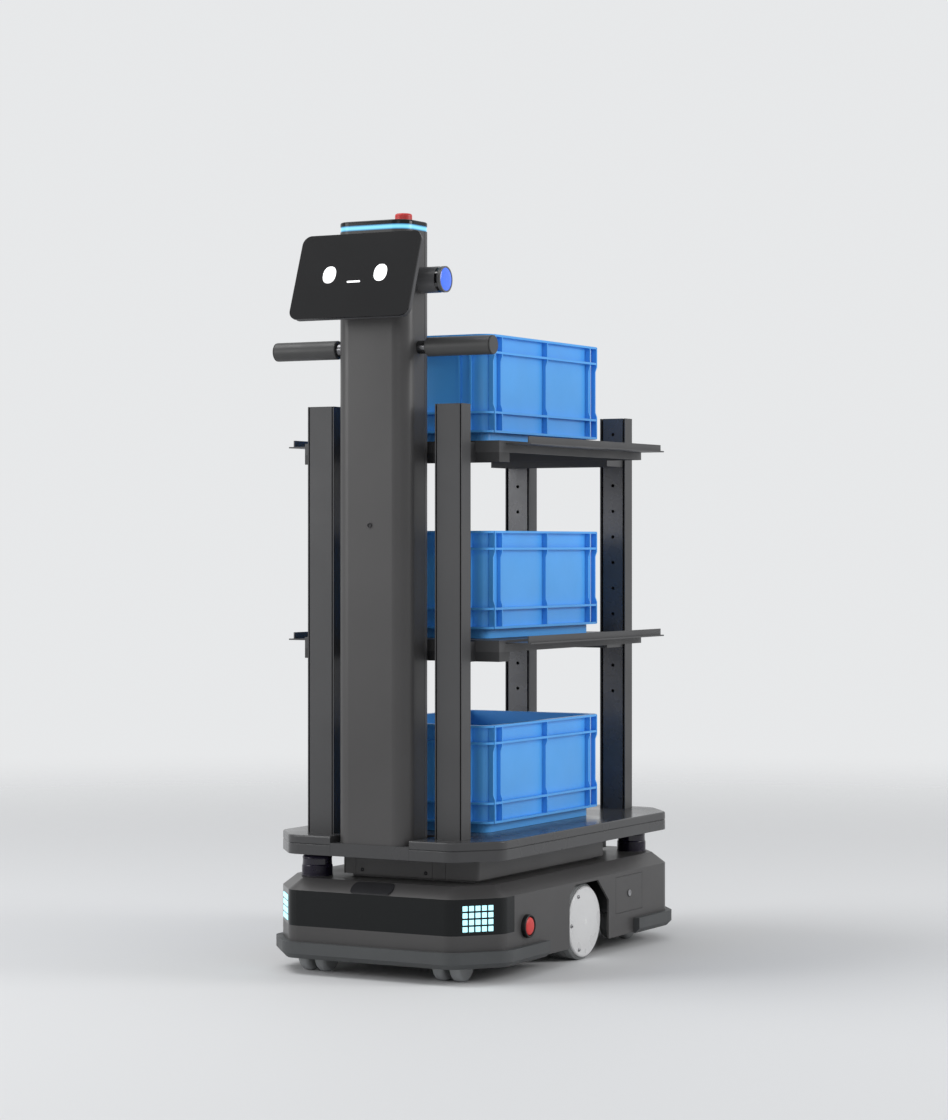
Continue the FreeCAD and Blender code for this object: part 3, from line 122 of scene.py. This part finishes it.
# The laser scanners stand on one diagonal of the base
SCANNER_SPOTS = ((-0.153, AXLE - 0.330, 0.168), (0.153, AXLE + 0.330, 0.168))
SCANNER_RIBS = 7
SCANNER_FIRST_RIB = 0.0035
SCANNER_RIB_PITCH = 0.0021


# Camera, light and floor

def place_camera(scene):
    data = bpy.data.cameras.new("camera")
    data.lens = FOCAL_PIXELS * SENSOR / PIXELS_HIGH
    data.sensor_width = SENSOR
    data.shift_y = (HORIZON_PIXEL - PIXELS_HIGH / 2) / PIXELS_HIGH
    data.clip_end = 100
    camera = bpy.data.objects.new("camera", data)
    camera.location = CAMERA_PLACE
    camera.rotation_euler = (math.radians(90), 0, CAMERA_TURN)
    bpy.context.collection.objects.link(camera)
    scene.camera = camera


def seen_or_lit(nodes, links, shown, lighting):
    """A background that shows one colour to the eye, gloss and glass, and lights with another."""
    path = nodes.new("ShaderNodeLightPath")
    seen = path.outputs["Is Camera Ray"]
    for ray in ("Is Glossy Ray", "Is Transmission Ray"):
        either = nodes.new("ShaderNodeMath")
        either.operation = "MAXIMUM"
        links.new(seen, either.inputs[0])
        links.new(path.outputs[ray], either.inputs[1])
        seen = either.outputs[0]
    mix = nodes.new("ShaderNodeMixShader")
    links.new(seen, mix.inputs[0])
    links.new(lighting.outputs[0], mix.inputs[1])
    links.new(shown.outputs[0], mix.inputs[2])
    return mix


def light_world(scene):
    world = bpy.data.worlds.new("studio")
    scene.world = world
    world.use_nodes = True
    nodes = world.node_tree.nodes
    links = world.node_tree.links
    nodes.clear()
    shown = nodes.new("ShaderNodeBackground")
    shown.inputs["Color"].default_value = BACKGROUND
    shown.inputs["Strength"].default_value = 1.0
    lighting = nodes.new("ShaderNodeBackground")
    lighting.inputs["Color"].default_value = SKY
    lighting.inputs["Strength"].default_value = SKY_STRENGTH
    mix = seen_or_lit(nodes, links, shown, lighting)
    out = nodes.new("ShaderNodeOutputWorld")
    links.new(mix.outputs[0], out.inputs["Surface"])


def area_light(name, energy, size, place, target):
    data = bpy.data.lights.new(name, "AREA")
    data.energy = energy
    data.shape = "DISK"
    data.size = size
    lamp = bpy.data.objects.new(name, data)
    lamp.location = place
    lamp.rotation_euler = (Vector(target) - Vector(place)).to_track_quat("-Z", "Y").to_euler()
    bpy.context.collection.objects.link(lamp)


def floor_look():
    """A pale floor that turns clear with distance, so that the background shows instead."""
    look = bpy.data.materials.new("floor")
    look.use_nodes = True
    nodes = look.node_tree.nodes
    links = look.node_tree.links
    shader = nodes["Principled BSDF"]
    shader.inputs["Base Color"].default_value = FLOOR_COLOUR
    shader.inputs["Roughness"].default_value = 0.75
    place = nodes.new("ShaderNodeNewGeometry")
    distance = nodes.new("ShaderNodeVectorMath")
    distance.operation = "LENGTH"
    links.new(place.outputs["Position"], distance.inputs[0])
    fade = nodes.new("ShaderNodeMapRange")
    fade.interpolation_type = "SMOOTHSTEP"
    fade.inputs["From Min"].default_value = FLOOR_FADE[0]
    fade.inputs["From Max"].default_value = FLOOR_FADE[1]
    links.new(distance.outputs["Value"], fade.inputs["Value"])
    clear = nodes.new("ShaderNodeBsdfTransparent")
    mix = nodes.new("ShaderNodeMixShader")
    links.new(fade.outputs["Result"], mix.inputs[0])
    links.new(shader.outputs[0], mix.inputs[1])
    links.new(clear.outputs[0], mix.inputs[2])
    links.new(mix.outputs[0], nodes["Material Output"].inputs["Surface"])
    return look


def lay_floor():
    mesh = bpy.data.meshes.new("floor")
    corners = [(x * FLOOR_HALF, y * FLOOR_HALF, 0) for x, y in ((-1, -1), (1, -1), (1, 1), (-1, 1))]
    mesh.from_pydata(corners, [], [(0, 1, 2, 3)])
    mesh.materials.append(floor_look())
    floor = bpy.data.objects.new("floor", mesh)
    bpy.context.collection.objects.link(floor)


def studio():
    scene = bpy.context.scene
    scene.view_settings.view_transform = "Standard"
    place_camera(scene)
    light_world(scene)
    for name, setting in LAMPS.items():
        area_light(name, *setting)
    lay_floor()


# Finishes, all worked out from the object's own coordinates

def linear(colour):
    """A screen colour of 0 to 255 as linear light, with full alpha."""
    light = []
    for value in colour:
        level = value / 255
        light.append(level / 12.92 if level <= 0.04045 else ((level + 0.055) / 1.055) ** 2.4)
    return (*light, 1)


class Finish:
    """A principled material; colours are screen colours, and layers vary colour, gloss and bump."""

    def __init__(self, name, colour, rough, metal=0.0, coat=0.0, gloss=0.3):
        self.material = bpy.data.materials.new(name)
        self.material.use_nodes = True
        self.tree = self.material.node_tree
        self.shader = self.tree.nodes["Principled BSDF"]
        self.colour = linear(colour)
        self.rough = rough
        self.set("Base Color", self.colour)
        self.set("Roughness", rough)
        self.set("Metallic", metal)
        self.set("Specular IOR Level", gloss)
        self.set("Coat Weight", coat)
        self.set("Coat Roughness", 0.08)
        self.place = self.add("ShaderNodeTexCoord").outputs["Object"]

    def set(self, socket, value):
        self.shader.inputs[socket].default_value = value

    def add(self, kind, **settings):
        node = self.tree.nodes.new(kind)
        for name, value in settings.items():
            setattr(node, name, value)
        return node

    def link(self, source, target):
        self.tree.links.new(source, target)

    def noise(self, scale, detail, stretch=(1, 1, 1)):
        mapping = self.add("ShaderNodeMapping")
        mapping.inputs["Scale"].default_value = stretch
        self.link(self.place, mapping.inputs["Vector"])
        noise = self.add("ShaderNodeTexNoise")
        noise.inputs["Scale"].default_value = scale
        noise.inputs["Detail"].default_value = detail
        self.link(mapping.outputs[0], noise.inputs["Vector"])
        return noise.outputs["Fac"]

    def spread(self, value, low, high):
        """Maps the middle of a noise onto a range."""
        remap = self.add("ShaderNodeMapRange")
        remap.inputs["From Min"].default_value = 0.3
        remap.inputs["From Max"].default_value = 0.7
        remap.inputs["To Min"].default_value = low
        remap.inputs["To Max"].default_value = high
        self.link(value, remap.inputs["Value"])
        return remap.outputs[0]

    def mottle(self, amount, scale):
        """Lightens and darkens the colour a little in soft clouds."""
        mix = self.add("ShaderNodeMix", data_type="RGBA", blend_type="MULTIPLY")
        mix.inputs["Factor"].default_value = 1.0
        mix.inputs["A"].default_value = self.colour
        shade = self.add("ShaderNodeCombineColor")
        level = self.spread(self.noise(scale, 4.0), 1 - amount, 1 + amount)
        for channel in ("Red", "Green", "Blue"):
            self.link(level, shade.inputs[channel])
        self.link(shade.outputs[0], mix.inputs["B"])
        self.link(mix.outputs["Result"], self.shader.inputs["Base Color"])
        return self

    def polish(self, amount, scale, stretch=(1, 1, 1)):
        """Varies the roughness."""
        level = self.spread(self.noise(scale, 3.0, stretch), self.rough - amount, self.rough + amount)
        self.link(level, self.shader.inputs["Roughness"])
        return self

    def grain(self, depth, scale):
        """A fine surface texture, depth in metres."""
        bump = self.add("ShaderNodeBump")
        bump.inputs["Strength"].default_value = 1.0
        bump.inputs["Distance"].default_value = depth
        self.link(self.noise(scale, 2.0), bump.inputs["Height"])
        self.link(bump.outputs[0], self.shader.inputs["Normal"])
        return self

    def lit(self, colour, strength):
        self.set("Emission Color", linear(colour))
        self.set("Emission Strength", strength)
        return self

    def lit_band(self, colour, edge_colour, middle, half):
        """A light that is brightest at one height and fades above and below it."""
        split = self.add("ShaderNodeSeparateXYZ")
        self.link(self.place, split.inputs[0])
        away = self.add("ShaderNodeMath", operation="SUBTRACT")
        self.link(split.outputs["Z"], away.inputs[0])
        away.inputs[1].default_value = middle
        size = self.add("ShaderNodeMath", operation="ABSOLUTE")
        self.link(away.outputs[0], size.inputs[0])
        fade = self.add("ShaderNodeMapRange", interpolation_type="SMOOTHSTEP")
        fade.inputs["From Min"].default_value = half * 0.25
        fade.inputs["From Max"].default_value = half
        self.link(size.outputs[0], fade.inputs["Value"])
        mix = self.add("ShaderNodeMix", data_type="RGBA")
        mix.inputs["A"].default_value = linear(colour)
        mix.inputs["B"].default_value = linear(edge_colour)
        self.link(fade.outputs["Result"], mix.inputs["Factor"])
        self.link(mix.outputs["Result"], self.shader.inputs["Emission Color"])
        self.set("Emission Strength", 1.0)
        return self


def body_finishes():
    """Finishes of the base, its running gear, the mast and the rack."""
    return {
        "housing": Finish("satin_grey", (71, 70, 70), 0.36)
        .mottle(0.05, 6).polish(0.05, 9).grain(0.00004, 900),
        "deck": Finish("deck_grey", (66, 66, 67), 0.24)
        .mottle(0.06, 5).polish(0.06, 8).grain(0.00005, 700),
        "sheet": Finish("powder_grey", (70, 70, 71), 0.42)
        .mottle(0.05, 8).polish(0.05, 14).grain(0.00006, 800),
        "rail": Finish("rail_grey", (84, 84, 86), 0.28, metal=0.2, gloss=0.5)
        .mottle(0.06, 14).polish(0.06, 30).grain(0.00003, 900),
        "bar": Finish("bar_grey", (54, 54, 55), 0.45)
        .mottle(0.05, 10).polish(0.05, 14).grain(0.00006, 700),
        "mask": Finish("gloss_black", (18, 20, 21), 0.14, coat=0.03, gloss=0.2)
        .mottle(0.04, 4).polish(0.02, 6),
        "bumper": Finish("bumper_rubber", (74, 76, 77), 0.55)
        .mottle(0.06, 12).polish(0.06, 20).grain(0.00008, 600),
        "chassis": Finish("chassis_black", (38, 38, 39), 0.5)
        .mottle(0.08, 10).grain(0.00006, 500),
        "liner": Finish("liner_black", (20, 20, 21), 0.6)
        .mottle(0.1, 15).grain(0.0001, 300),
        "motor": Finish("motor_grey", (70, 72, 75), 0.45, metal=0.6)
        .mottle(0.06, 20).grain(0.00008, 400),
        "bracket": Finish("bracket_grey", (92, 92, 94), 0.42, metal=0.7)
        .mottle(0.06, 18).grain(0.00005, 600),
        "battery": Finish("battery_black", (44, 44, 47), 0.5)
        .mottle(0.06, 14).grain(0.00008, 500),
        "controller": Finish("controller_grey", (120, 121, 123), 0.4, metal=0.8)
        .mottle(0.05, 12).grain(0.00005, 500),
        "tyre": Finish("tyre_rubber", (122, 124, 124), 0.62)
        .mottle(0.12, 30).polish(0.08, 40).grain(0.00015, 260),
        "hub": Finish("hub_aluminium", (178, 179, 182), 0.3, metal=1.0)
        .polish(0.08, 60, (1, 8, 8)).grain(0.00002, 900),
        "disc": Finish("disc_white", (212, 212, 212), 0.3, metal=0.1)
        .mottle(0.025, 9).polish(0.05, 18).grain(0.00004, 700),
        "caster_steel": Finish("zinc", (128, 130, 132), 0.35, metal=0.9)
        .mottle(0.08, 40).polish(0.08, 50),
        "caster_tyre": Finish("caster_grey", (144, 146, 147), 0.4)
        .mottle(0.05, 24).polish(0.06, 40).grain(0.00006, 500),
        "profile": Finish("anodised", (170, 171, 174), 0.35, metal=0.9)
        .mottle(0.04, 12).polish(0.05, 30),
        "tote": Finish("tote_blue", (82, 167, 240), 0.34)
        .mottle(0.05, 9).polish(0.06, 16).grain(0.00005, 500),
    }


def fitting_finishes():
    """Finishes of the lights, sensors, screen, buttons, grips and screws."""
    return {
        "window": Finish("window_black", (44, 44, 46), 0.14, coat=0.1)
        .mottle(0.05, 30).polish(0.03, 20),
        "lights": Finish("lit_cyan", (190, 248, 255), 0.3)
        .mottle(0.03, 200).lit((170, 244, 255), 0.9),
        "ring_light": Finish("lit_blue", (44, 92, 124), 0.3)
        .mottle(0.03, 60).lit_band((140, 226, 250), (36, 92, 136), RING_MIDDLE, RING_HALF),
        "dark_plastic": Finish("matte_black", (40, 40, 42), 0.45)
        .mottle(0.07, 22).polish(0.06, 30).grain(0.00006, 800),
        "ring_black": Finish("ring_black", (22, 22, 23), 0.4)
        .mottle(0.06, 30).grain(0.00005, 900),
        "stop_red": Finish("stop_red", (205, 62, 60), 0.38)
        .mottle(0.05, 60).polish(0.05, 80).grain(0.00004, 900),
        "lidar": Finish("lidar_violet", (34, 29, 46), 0.3, coat=0.1)
        .mottle(0.1, 40).polish(0.06, 50),
        "lidar_window": Finish("lidar_window", (26, 20, 40), 0.1, coat=0.3)
        .mottle(0.06, 30),
        "screen": Finish("screen_glass", (28, 28, 29), 0.15, coat=0.03, gloss=0.22)
        .mottle(0.03, 6).polish(0.02, 10),
        "screen_back": Finish("screen_back", (66, 66, 68), 0.4)
        .mottle(0.05, 20).polish(0.05, 30).grain(0.00005, 800),
        "eye": Finish("screen_white", (250, 250, 250), 0.3)
        .mottle(0.02, 80).lit((255, 255, 255), 0.85),
        "barrel": Finish("barrel_grey", (96, 96, 97), 0.36)
        .mottle(0.05, 20).polish(0.05, 30).grain(0.00004, 900),
        "gloss_ring": Finish("gloss_ring", (16, 16, 18), 0.1, coat=0.4, gloss=0.5)
        .mottle(0.06, 120),
        "lamp_lens": Finish("lamp_blue", (58, 104, 226), 0.2, coat=0.2, gloss=0.4)
        .mottle(0.08, 50).lit((70, 122, 250), 0.35),
        "grip": Finish("grip_grey", (67, 67, 67), 0.42)
        .mottle(0.05, 24).polish(0.05, 30).grain(0.00005, 800),
        "bright": Finish("bright_steel", (104, 104, 106), 0.2, metal=1.0)
        .mottle(0.04, 40).polish(0.06, 60),
        "steel": Finish("screw_steel", (150, 150, 152), 0.3, metal=0.9)
        .mottle(0.08, 200).polish(0.08, 200),
        "black_steel": Finish("screw_black", (48, 48, 50), 0.35, metal=0.6)
        .mottle(0.08, 200).polish(0.06, 200),
        "lock": Finish("lock_steel", (150, 150, 152), 0.3, metal=0.7)
        .mottle(0.06, 160).polish(0.06, 200),
    }


NODE_FINISH = {
    "base_shell": "housing", "service_flap": "housing", "pedestal": "housing",
    "pedestal_plate": "housing", "column_front": "housing", "column_rear": "housing",
    "deck_frame": "deck", "deck_plate": "deck", "column_foot": "deck", "post_channels": "sheet",
    "shelves": "sheet", "post_rails": "rail", "shelf_beams": "bar", "front_mask": "mask",
    "top_cap": "mask", "bumpers": "bumper", "chassis_plate": "chassis", "wheel_liners": "liner",
    "drive_motors": "motor", "motor_saddles": "bracket", "column_bulkheads": "bracket",
    "battery_pack": "battery", "controller": "controller", "drive_tyre_right": "tyre",
    "drive_tyre_left": "tyre", "drive_hub_right": "hub", "drive_hub_left": "hub",
    "wheel_disc_right": "disc", "wheel_disc_left": "disc", "caster_mounts": "caster_steel",
    "column_profile": "profile", "tote_lower": "tote", "tote_middle": "tote", "tote_upper": "tote",
    "sensor_window": "window", "light_squares": "lights", "light_ring": "ring_light",
    "switch_blocks": "dark_plastic", "charge_socket": "dark_plastic",
    "screen_bracket": "dark_plastic", "stop_rings": "ring_black", "stop_button_right": "stop_red",
    "stop_button_left": "stop_red", "stop_button_head": "stop_red", "lidars": "lidar",
    "lidar_windows": "lidar_window", "screen_glass": "screen", "screen_housing": "screen_back",
    "lamp_tubes": "barrel", "lamp_lenses": "lamp_lens", "handle_grips": "grip",
    "handle_collars": "bright",
}
for corner in ("front_left", "front_right", "rear_left", "rear_right"):
    NODE_FINISH[f"caster_fork_{corner}"] = "caster_steel"
    NODE_FINISH[f"caster_wheels_{corner}"] = "caster_tyre"

# How wide each node's edges are softened, in metres; the rest get the plain width
PLAIN_EDGE = 0.0005
EDGE = {
    "base_shell": 0.0016, "bumpers": 0.0022, "pedestal": 0.0008, "column_foot": 0.0012,
    "deck_plate": 0.0006, "deck_frame": 0.0006, "shelves": 0.0006, "post_channels": 0.0007,
    "post_rails": 0.0, "screen_housing": 0.002, "screen_glass": 0.0015, "light_squares": 0.0,
    "sensor_window": 0.0003, "charge_socket": 0.0004, "tote_lower": 0.0008, "tote_middle": 0.0008,
    "tote_upper": 0.0008,
}


def dress(looks):
    """Gives each CAD node its finish, smooth curved faces and softened edges."""
    for name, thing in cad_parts.items():
        for slot in thing.material_slots:
            slot.material = looks[NODE_FINISH[name]].material
        thing.data.shade_smooth()
        thing.data.set_sharp_from_angle(angle=NODE_SHARP)
        width = EDGE.get(name, PLAIN_EDGE)
        if width > 0:
            bevel = thing.modifiers.new("soft_edges", "BEVEL")
            bevel.width = width
            bevel.segments = 2
            bevel.limit_method = "ANGLE"
            bevel.angle_limit = BEVEL_ANGLE
            bevel.harden_normals = True
            bevel.use_clamp_overlap = True


# Tools for small parts

def piece(name, mesh, look, body, matrix=None):
    """A finished part in its place, riding on a body."""
    thing = bpy.data.objects.new(name, mesh)
    bpy.context.collection.objects.link(thing)
    if matrix is not None:
        thing.matrix_world = matrix
    mesh.materials.append(look.material)
    mesh.shade_smooth()
    mesh.set_sharp_from_angle(angle=PIECE_SHARP)
    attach(thing, body)
    return thing


def facing(normal, place):
    """A matrix that stands Z along a direction at a place."""
    return Matrix.Translation(place) @ Vector(normal).to_track_quat("Z", "Y").to_matrix().to_4x4()


def finished(shape, name):
    """The mesh of a shape that is done with."""
    mesh = bpy.data.meshes.new(name)
    shape.to_mesh(mesh)
    shape.free()
    return mesh


def skin(shape, rings):
    """Faces between rings of points that follow each other; an end ring may be a single point."""
    steps = max(len(ring) for ring in rings)
    for low, high in zip(rings, rings[1:]):
        for i in range(steps):
            j = (i + 1) % steps
            if len(low) == 1:
                shape.faces.new((low[0], high[j], high[i]))
            elif len(high) == 1:
                shape.faces.new((low[i], low[j], high[0]))
            else:
                shape.faces.new((low[i], low[j], high[j], high[i]))


def turned_mesh(name, profile, steps=32):
    """A mesh turned about Z from (radius, height) points."""
    shape = bmesh.new()
    rings = []
    for radius, height in profile:
        turns = [2 * math.pi * i / steps for i in range(steps if radius > 0 else 1)]
        rings.append([
            shape.verts.new((radius * math.cos(turn), radius * math.sin(turn), height)) for turn in turns
        ])
    skin(shape, rings)
    bmesh.ops.recalc_face_normals(shape, faces=shape.faces)
    return finished(shape, name)


def join(name, parts):
    """One mesh from several (mesh, matrix) pairs."""
    shape = bmesh.new()
    for mesh, matrix in parts:
        start = len(shape.verts)
        shape.from_mesh(mesh)
        shape.verts.ensure_lookup_table()
        bmesh.ops.transform(shape, matrix=matrix, verts=shape.verts[start:])
    return finished(shape, name)


def screws(name, head, seats, look, body):
    """Round-headed screws with a socket, joined as one part, from (place, direction) pairs."""
    radius = SCREW_RADIUS
    socket = radius * 0.5
    mesh = turned_mesh("screw", [
        (radius, 0), (radius, head * 0.45), (radius * 0.8, head * 0.85), (socket * 1.15, head),
        (socket, head * 0.95), (socket, head * 0.35), (0, head * 0.3),
    ], 24)
    whole = join(name, [(mesh, facing(normal, spot)) for spot, normal in seats])
    piece(name, whole, look, body)


# The face on the screen

def oval_point(turn):
    """A point of a unit oval, filled out a little at its corners."""
    across = math.cos(turn)
    up = math.sin(turn)
    return math.copysign(abs(across) ** EYE_FULLNESS, across), math.copysign(abs(up) ** EYE_FULLNESS, up)


def eye_mesh():
    """A flat oval plate with a small rounded rim, in the XY plane."""
    shape = bmesh.new()
    steps = 56
    outline = [oval_point(2 * math.pi * i / steps) for i in range(steps)]
    rings = []
    for size, height in ((1.0, 0.0), (1.0, FACE_DEPTH * 0.6), (0.97, FACE_DEPTH)):
        wide = EYE_HALF_WIDTH * size
        tall = EYE_HALF_HEIGHT * size
        rings.append([shape.verts.new((wide * across, tall * up, height)) for across, up in outline])
    skin(shape, rings)
    shape.faces.new(rings[-1])
    shape.faces.new(list(reversed(rings[0])))
    return finished(shape, "eye")


def mouth_mesh():
    """A flat bar with rounded ends."""
    shape = bmesh.new()
    bmesh.ops.create_cube(shape, size=1)
    bmesh.ops.scale(shape, vec=(MOUTH_WIDTH, MOUTH_HEIGHT, FACE_DEPTH), verts=shape.verts)
    bmesh.ops.translate(shape, vec=(0, 0, FACE_DEPTH / 2), verts=shape.verts)
    upright = [edge for edge in shape.edges if abs(edge.verts[0].co.z - edge.verts[1].co.z) > 1e-5]
    bmesh.ops.bevel(shape, geom=upright, offset=MOUTH_CORNER, segments=4, affect="EDGES")
    return finished(shape, "mouth")


def on_screen(across, up):
    """A place on the leaning glass, across and up from its middle."""
    lean = Matrix.Rotation(-SCREEN_TILT, 4, "X")
    stand = Matrix.Rotation(math.radians(90), 4, "X")
    return Matrix.Translation(SCREEN_MIDDLE) @ lean @ stand @ Matrix.Translation((across, up, 0))


def screen_face(looks):
    """Two oval eyes and a short bar for a mouth."""
    for side, across in EYES:
        piece(f"eye_{side}", eye_mesh(), looks["eye"], "base", on_screen(across, EYE_UP))
    piece("mouth", mouth_mesh(), looks["eye"], "base", on_screen(0, MOUTH_UP))


# Screws, port, lamp rings and lock

def wheel_screws(looks):
    """Three screws near the front edge of each cover disc."""
    for side, sign in SIDES:
        seats = []
        for angle in DISC_SCREW_ANGLES:
            turn = math.radians(angle)
            y = AXLE + DISC_SCREW_CIRCLE * math.cos(turn)
            z = WHEEL_Z + DISC_SCREW_CIRCLE * math.sin(turn)
            seats.append(((sign * DISC_FACE, y, z), (sign, 0, 0)))
        screws(f"disc_screws_{side}", DISC_SCREW_HEAD, seats, looks["steel"], f"wheel_{side}")


def plate_screws(looks):
    """Two screws in the pedestal's front plate."""
    seats = [((x, PLATE_SCREW_Y, PLATE_SCREW_Z), (0, -1, 0)) for x in (-PLATE_SCREW_X, PLATE_SCREW_X)]
    screws("panel_screws", PLATE_SCREW_HEAD, seats, looks["black_steel"], "base")


def port(looks):
    """The plug of the mast's port, and the flange round it."""
    plug = turned_mesh("port", [
        (0.0043, 0), (0.0043, 0.0026), (0.0033, 0.003), (0.0028, 0.0018), (0, 0.0014),
    ])
    piece("port", plug, looks["dark_plastic"], "base",
          facing((0, -1, 0), (0, PORT_PLUG_Y, PORT_Z)))
    flange = turned_mesh("port_flange", [
        (0.0044, -0.0006), (0.0062, -0.0006), (0.0062, 0.0002), (0.0057, 0.0006), (0.0044, 0.0006),
        (0.0044, -0.0006),
    ])
    piece("port_flange", flange, looks["housing"], "base",
          facing((0, -1, 0), (0, PORT_FLANGE_Y, PORT_Z)))


def lamp_rings(looks):
    """A glossy black ring in the groove of each side lamp."""
    for side, sign in SIDES:
        mesh = turned_mesh(f"lamp_ring_{side}", [
            (0.0214, 0.0002), (0.0222, 0.0002), (0.0227, 0.0008), (0.0227, 0.0052), (0.0222, 0.0058),
            (0.0214, 0.0058), (0.0214, 0.0002),
        ], 64)
        piece(f"lamp_ring_{side}", mesh, looks["gloss_ring"], "base",
              facing((sign, 0, 0), (sign * LAMP_X, LAMP_Y, LAMP_Z)))


def flap_lock(looks):
    """The round lock of the service flap, with a small keyhole."""
    mesh = turned_mesh("flap_lock", [
        (0.0062, 0), (0.0062, 0.0005), (0.0058, 0.0009), (0.0044, 0.0009), (0.0041, 0.0005),
        (0.0016, 0.0005), (0.0013, 0.0002), (0, 0.0002),
    ], 40)
    piece("flap_lock", mesh, looks["lock"], "flap", facing((1, 0, 0), LOCK_SEAT))


# Finer versions of nodes, in the same places

def side_stops(looks):
    """The side stop buttons: a domed red cap that stands a little out of its black ring."""
    ring = turned_mesh("stop_ring", [
        (0.0166, -0.0004), (0.0206, -0.0004), (0.0206, 0.0062), (0.0202, 0.0076), (0.0191, 0.0083),
        (0.0178, 0.0082), (0.0169, 0.0072), (0.0166, -0.0004),
    ], 56)
    cap = turned_mesh("stop_cap", [
        (0, -0.0295), (0.0050, -0.0295), (0.0050, 0.0004), (0.0141, 0.0004), (0.0143, 0.0044),
        (0.0158, 0.0046), (0.0159, 0.0054), (0.0155, 0.0066), (0.0143, 0.0077), (0.0112, 0.0086),
        (0.0060, 0.0091), (0, 0.0092),
    ], 56)
    rings = []
    for side, sign in SIDES:
        seat = facing((sign, 0, 0), (sign * STOP_X, STOP_Y, STOP_Z))
        rings.append((ring, seat))
        button = piece(f"stop_cap_{side}", cap.copy(), looks["stop_red"],
                       f"button_{side}", seat)
        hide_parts(f"stop_button_{side}")
    rims = piece("stop_rims", join("stop_rims", rings), looks["ring_black"], "base")
    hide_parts("stop_rings")


def scanners(looks):
    """The laser scanners' bodies: a ribbed foot, a dark window and a domed cap."""
    ribs = []
    for i in range(SCANNER_RIBS):
        low = SCANNER_FIRST_RIB + SCANNER_RIB_PITCH * i
        ribs += [(0.0272, low), (0.0278, low + 0.0004), (0.0278, low + 0.0012), (0.0272, low + 0.0016)]
    profile = [
        (0.0278, 0), (0.0278, 0.0030), *ribs, (0.0270, 0.0188), (0.0262, 0.0200), (0.0258, 0.0306),
        (0.0266, 0.0312), (0.0264, 0.0334), (0.0250, 0.0356), (0.0222, 0.0371), (0.0180, 0.0377),
        (0, 0.0379),
    ]
    window = [(0.0262, 0.0199), (0.0266, 0.0203), (0.0262, 0.0303), (0.0258, 0.0307)]
    seats = [Matrix.Translation(spot) for spot in SCANNER_SPOTS]
    bodies = [(turned_mesh("scanner", profile, 64), seat) for seat in seats]
    windows = [(turned_mesh("scanner_window", window, 64), seat) for seat in seats]
    body = piece("scanners", join("scanners", bodies), looks["lidar"], "base")
    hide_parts("lidars")
    whole = join("scanner_windows", windows)
    glass = piece("scanner_windows", whole, looks["lidar_window"], "base")
    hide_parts("lidar_windows")


studio()
looks = {**body_finishes(), **fitting_finishes()}
dress(looks)
screen_face(looks)
wheel_screws(looks)
plate_screws(looks)
port(looks)
side_stops(looks)
lamp_rings(looks)
flap_lock(looks)
scanners(looks)
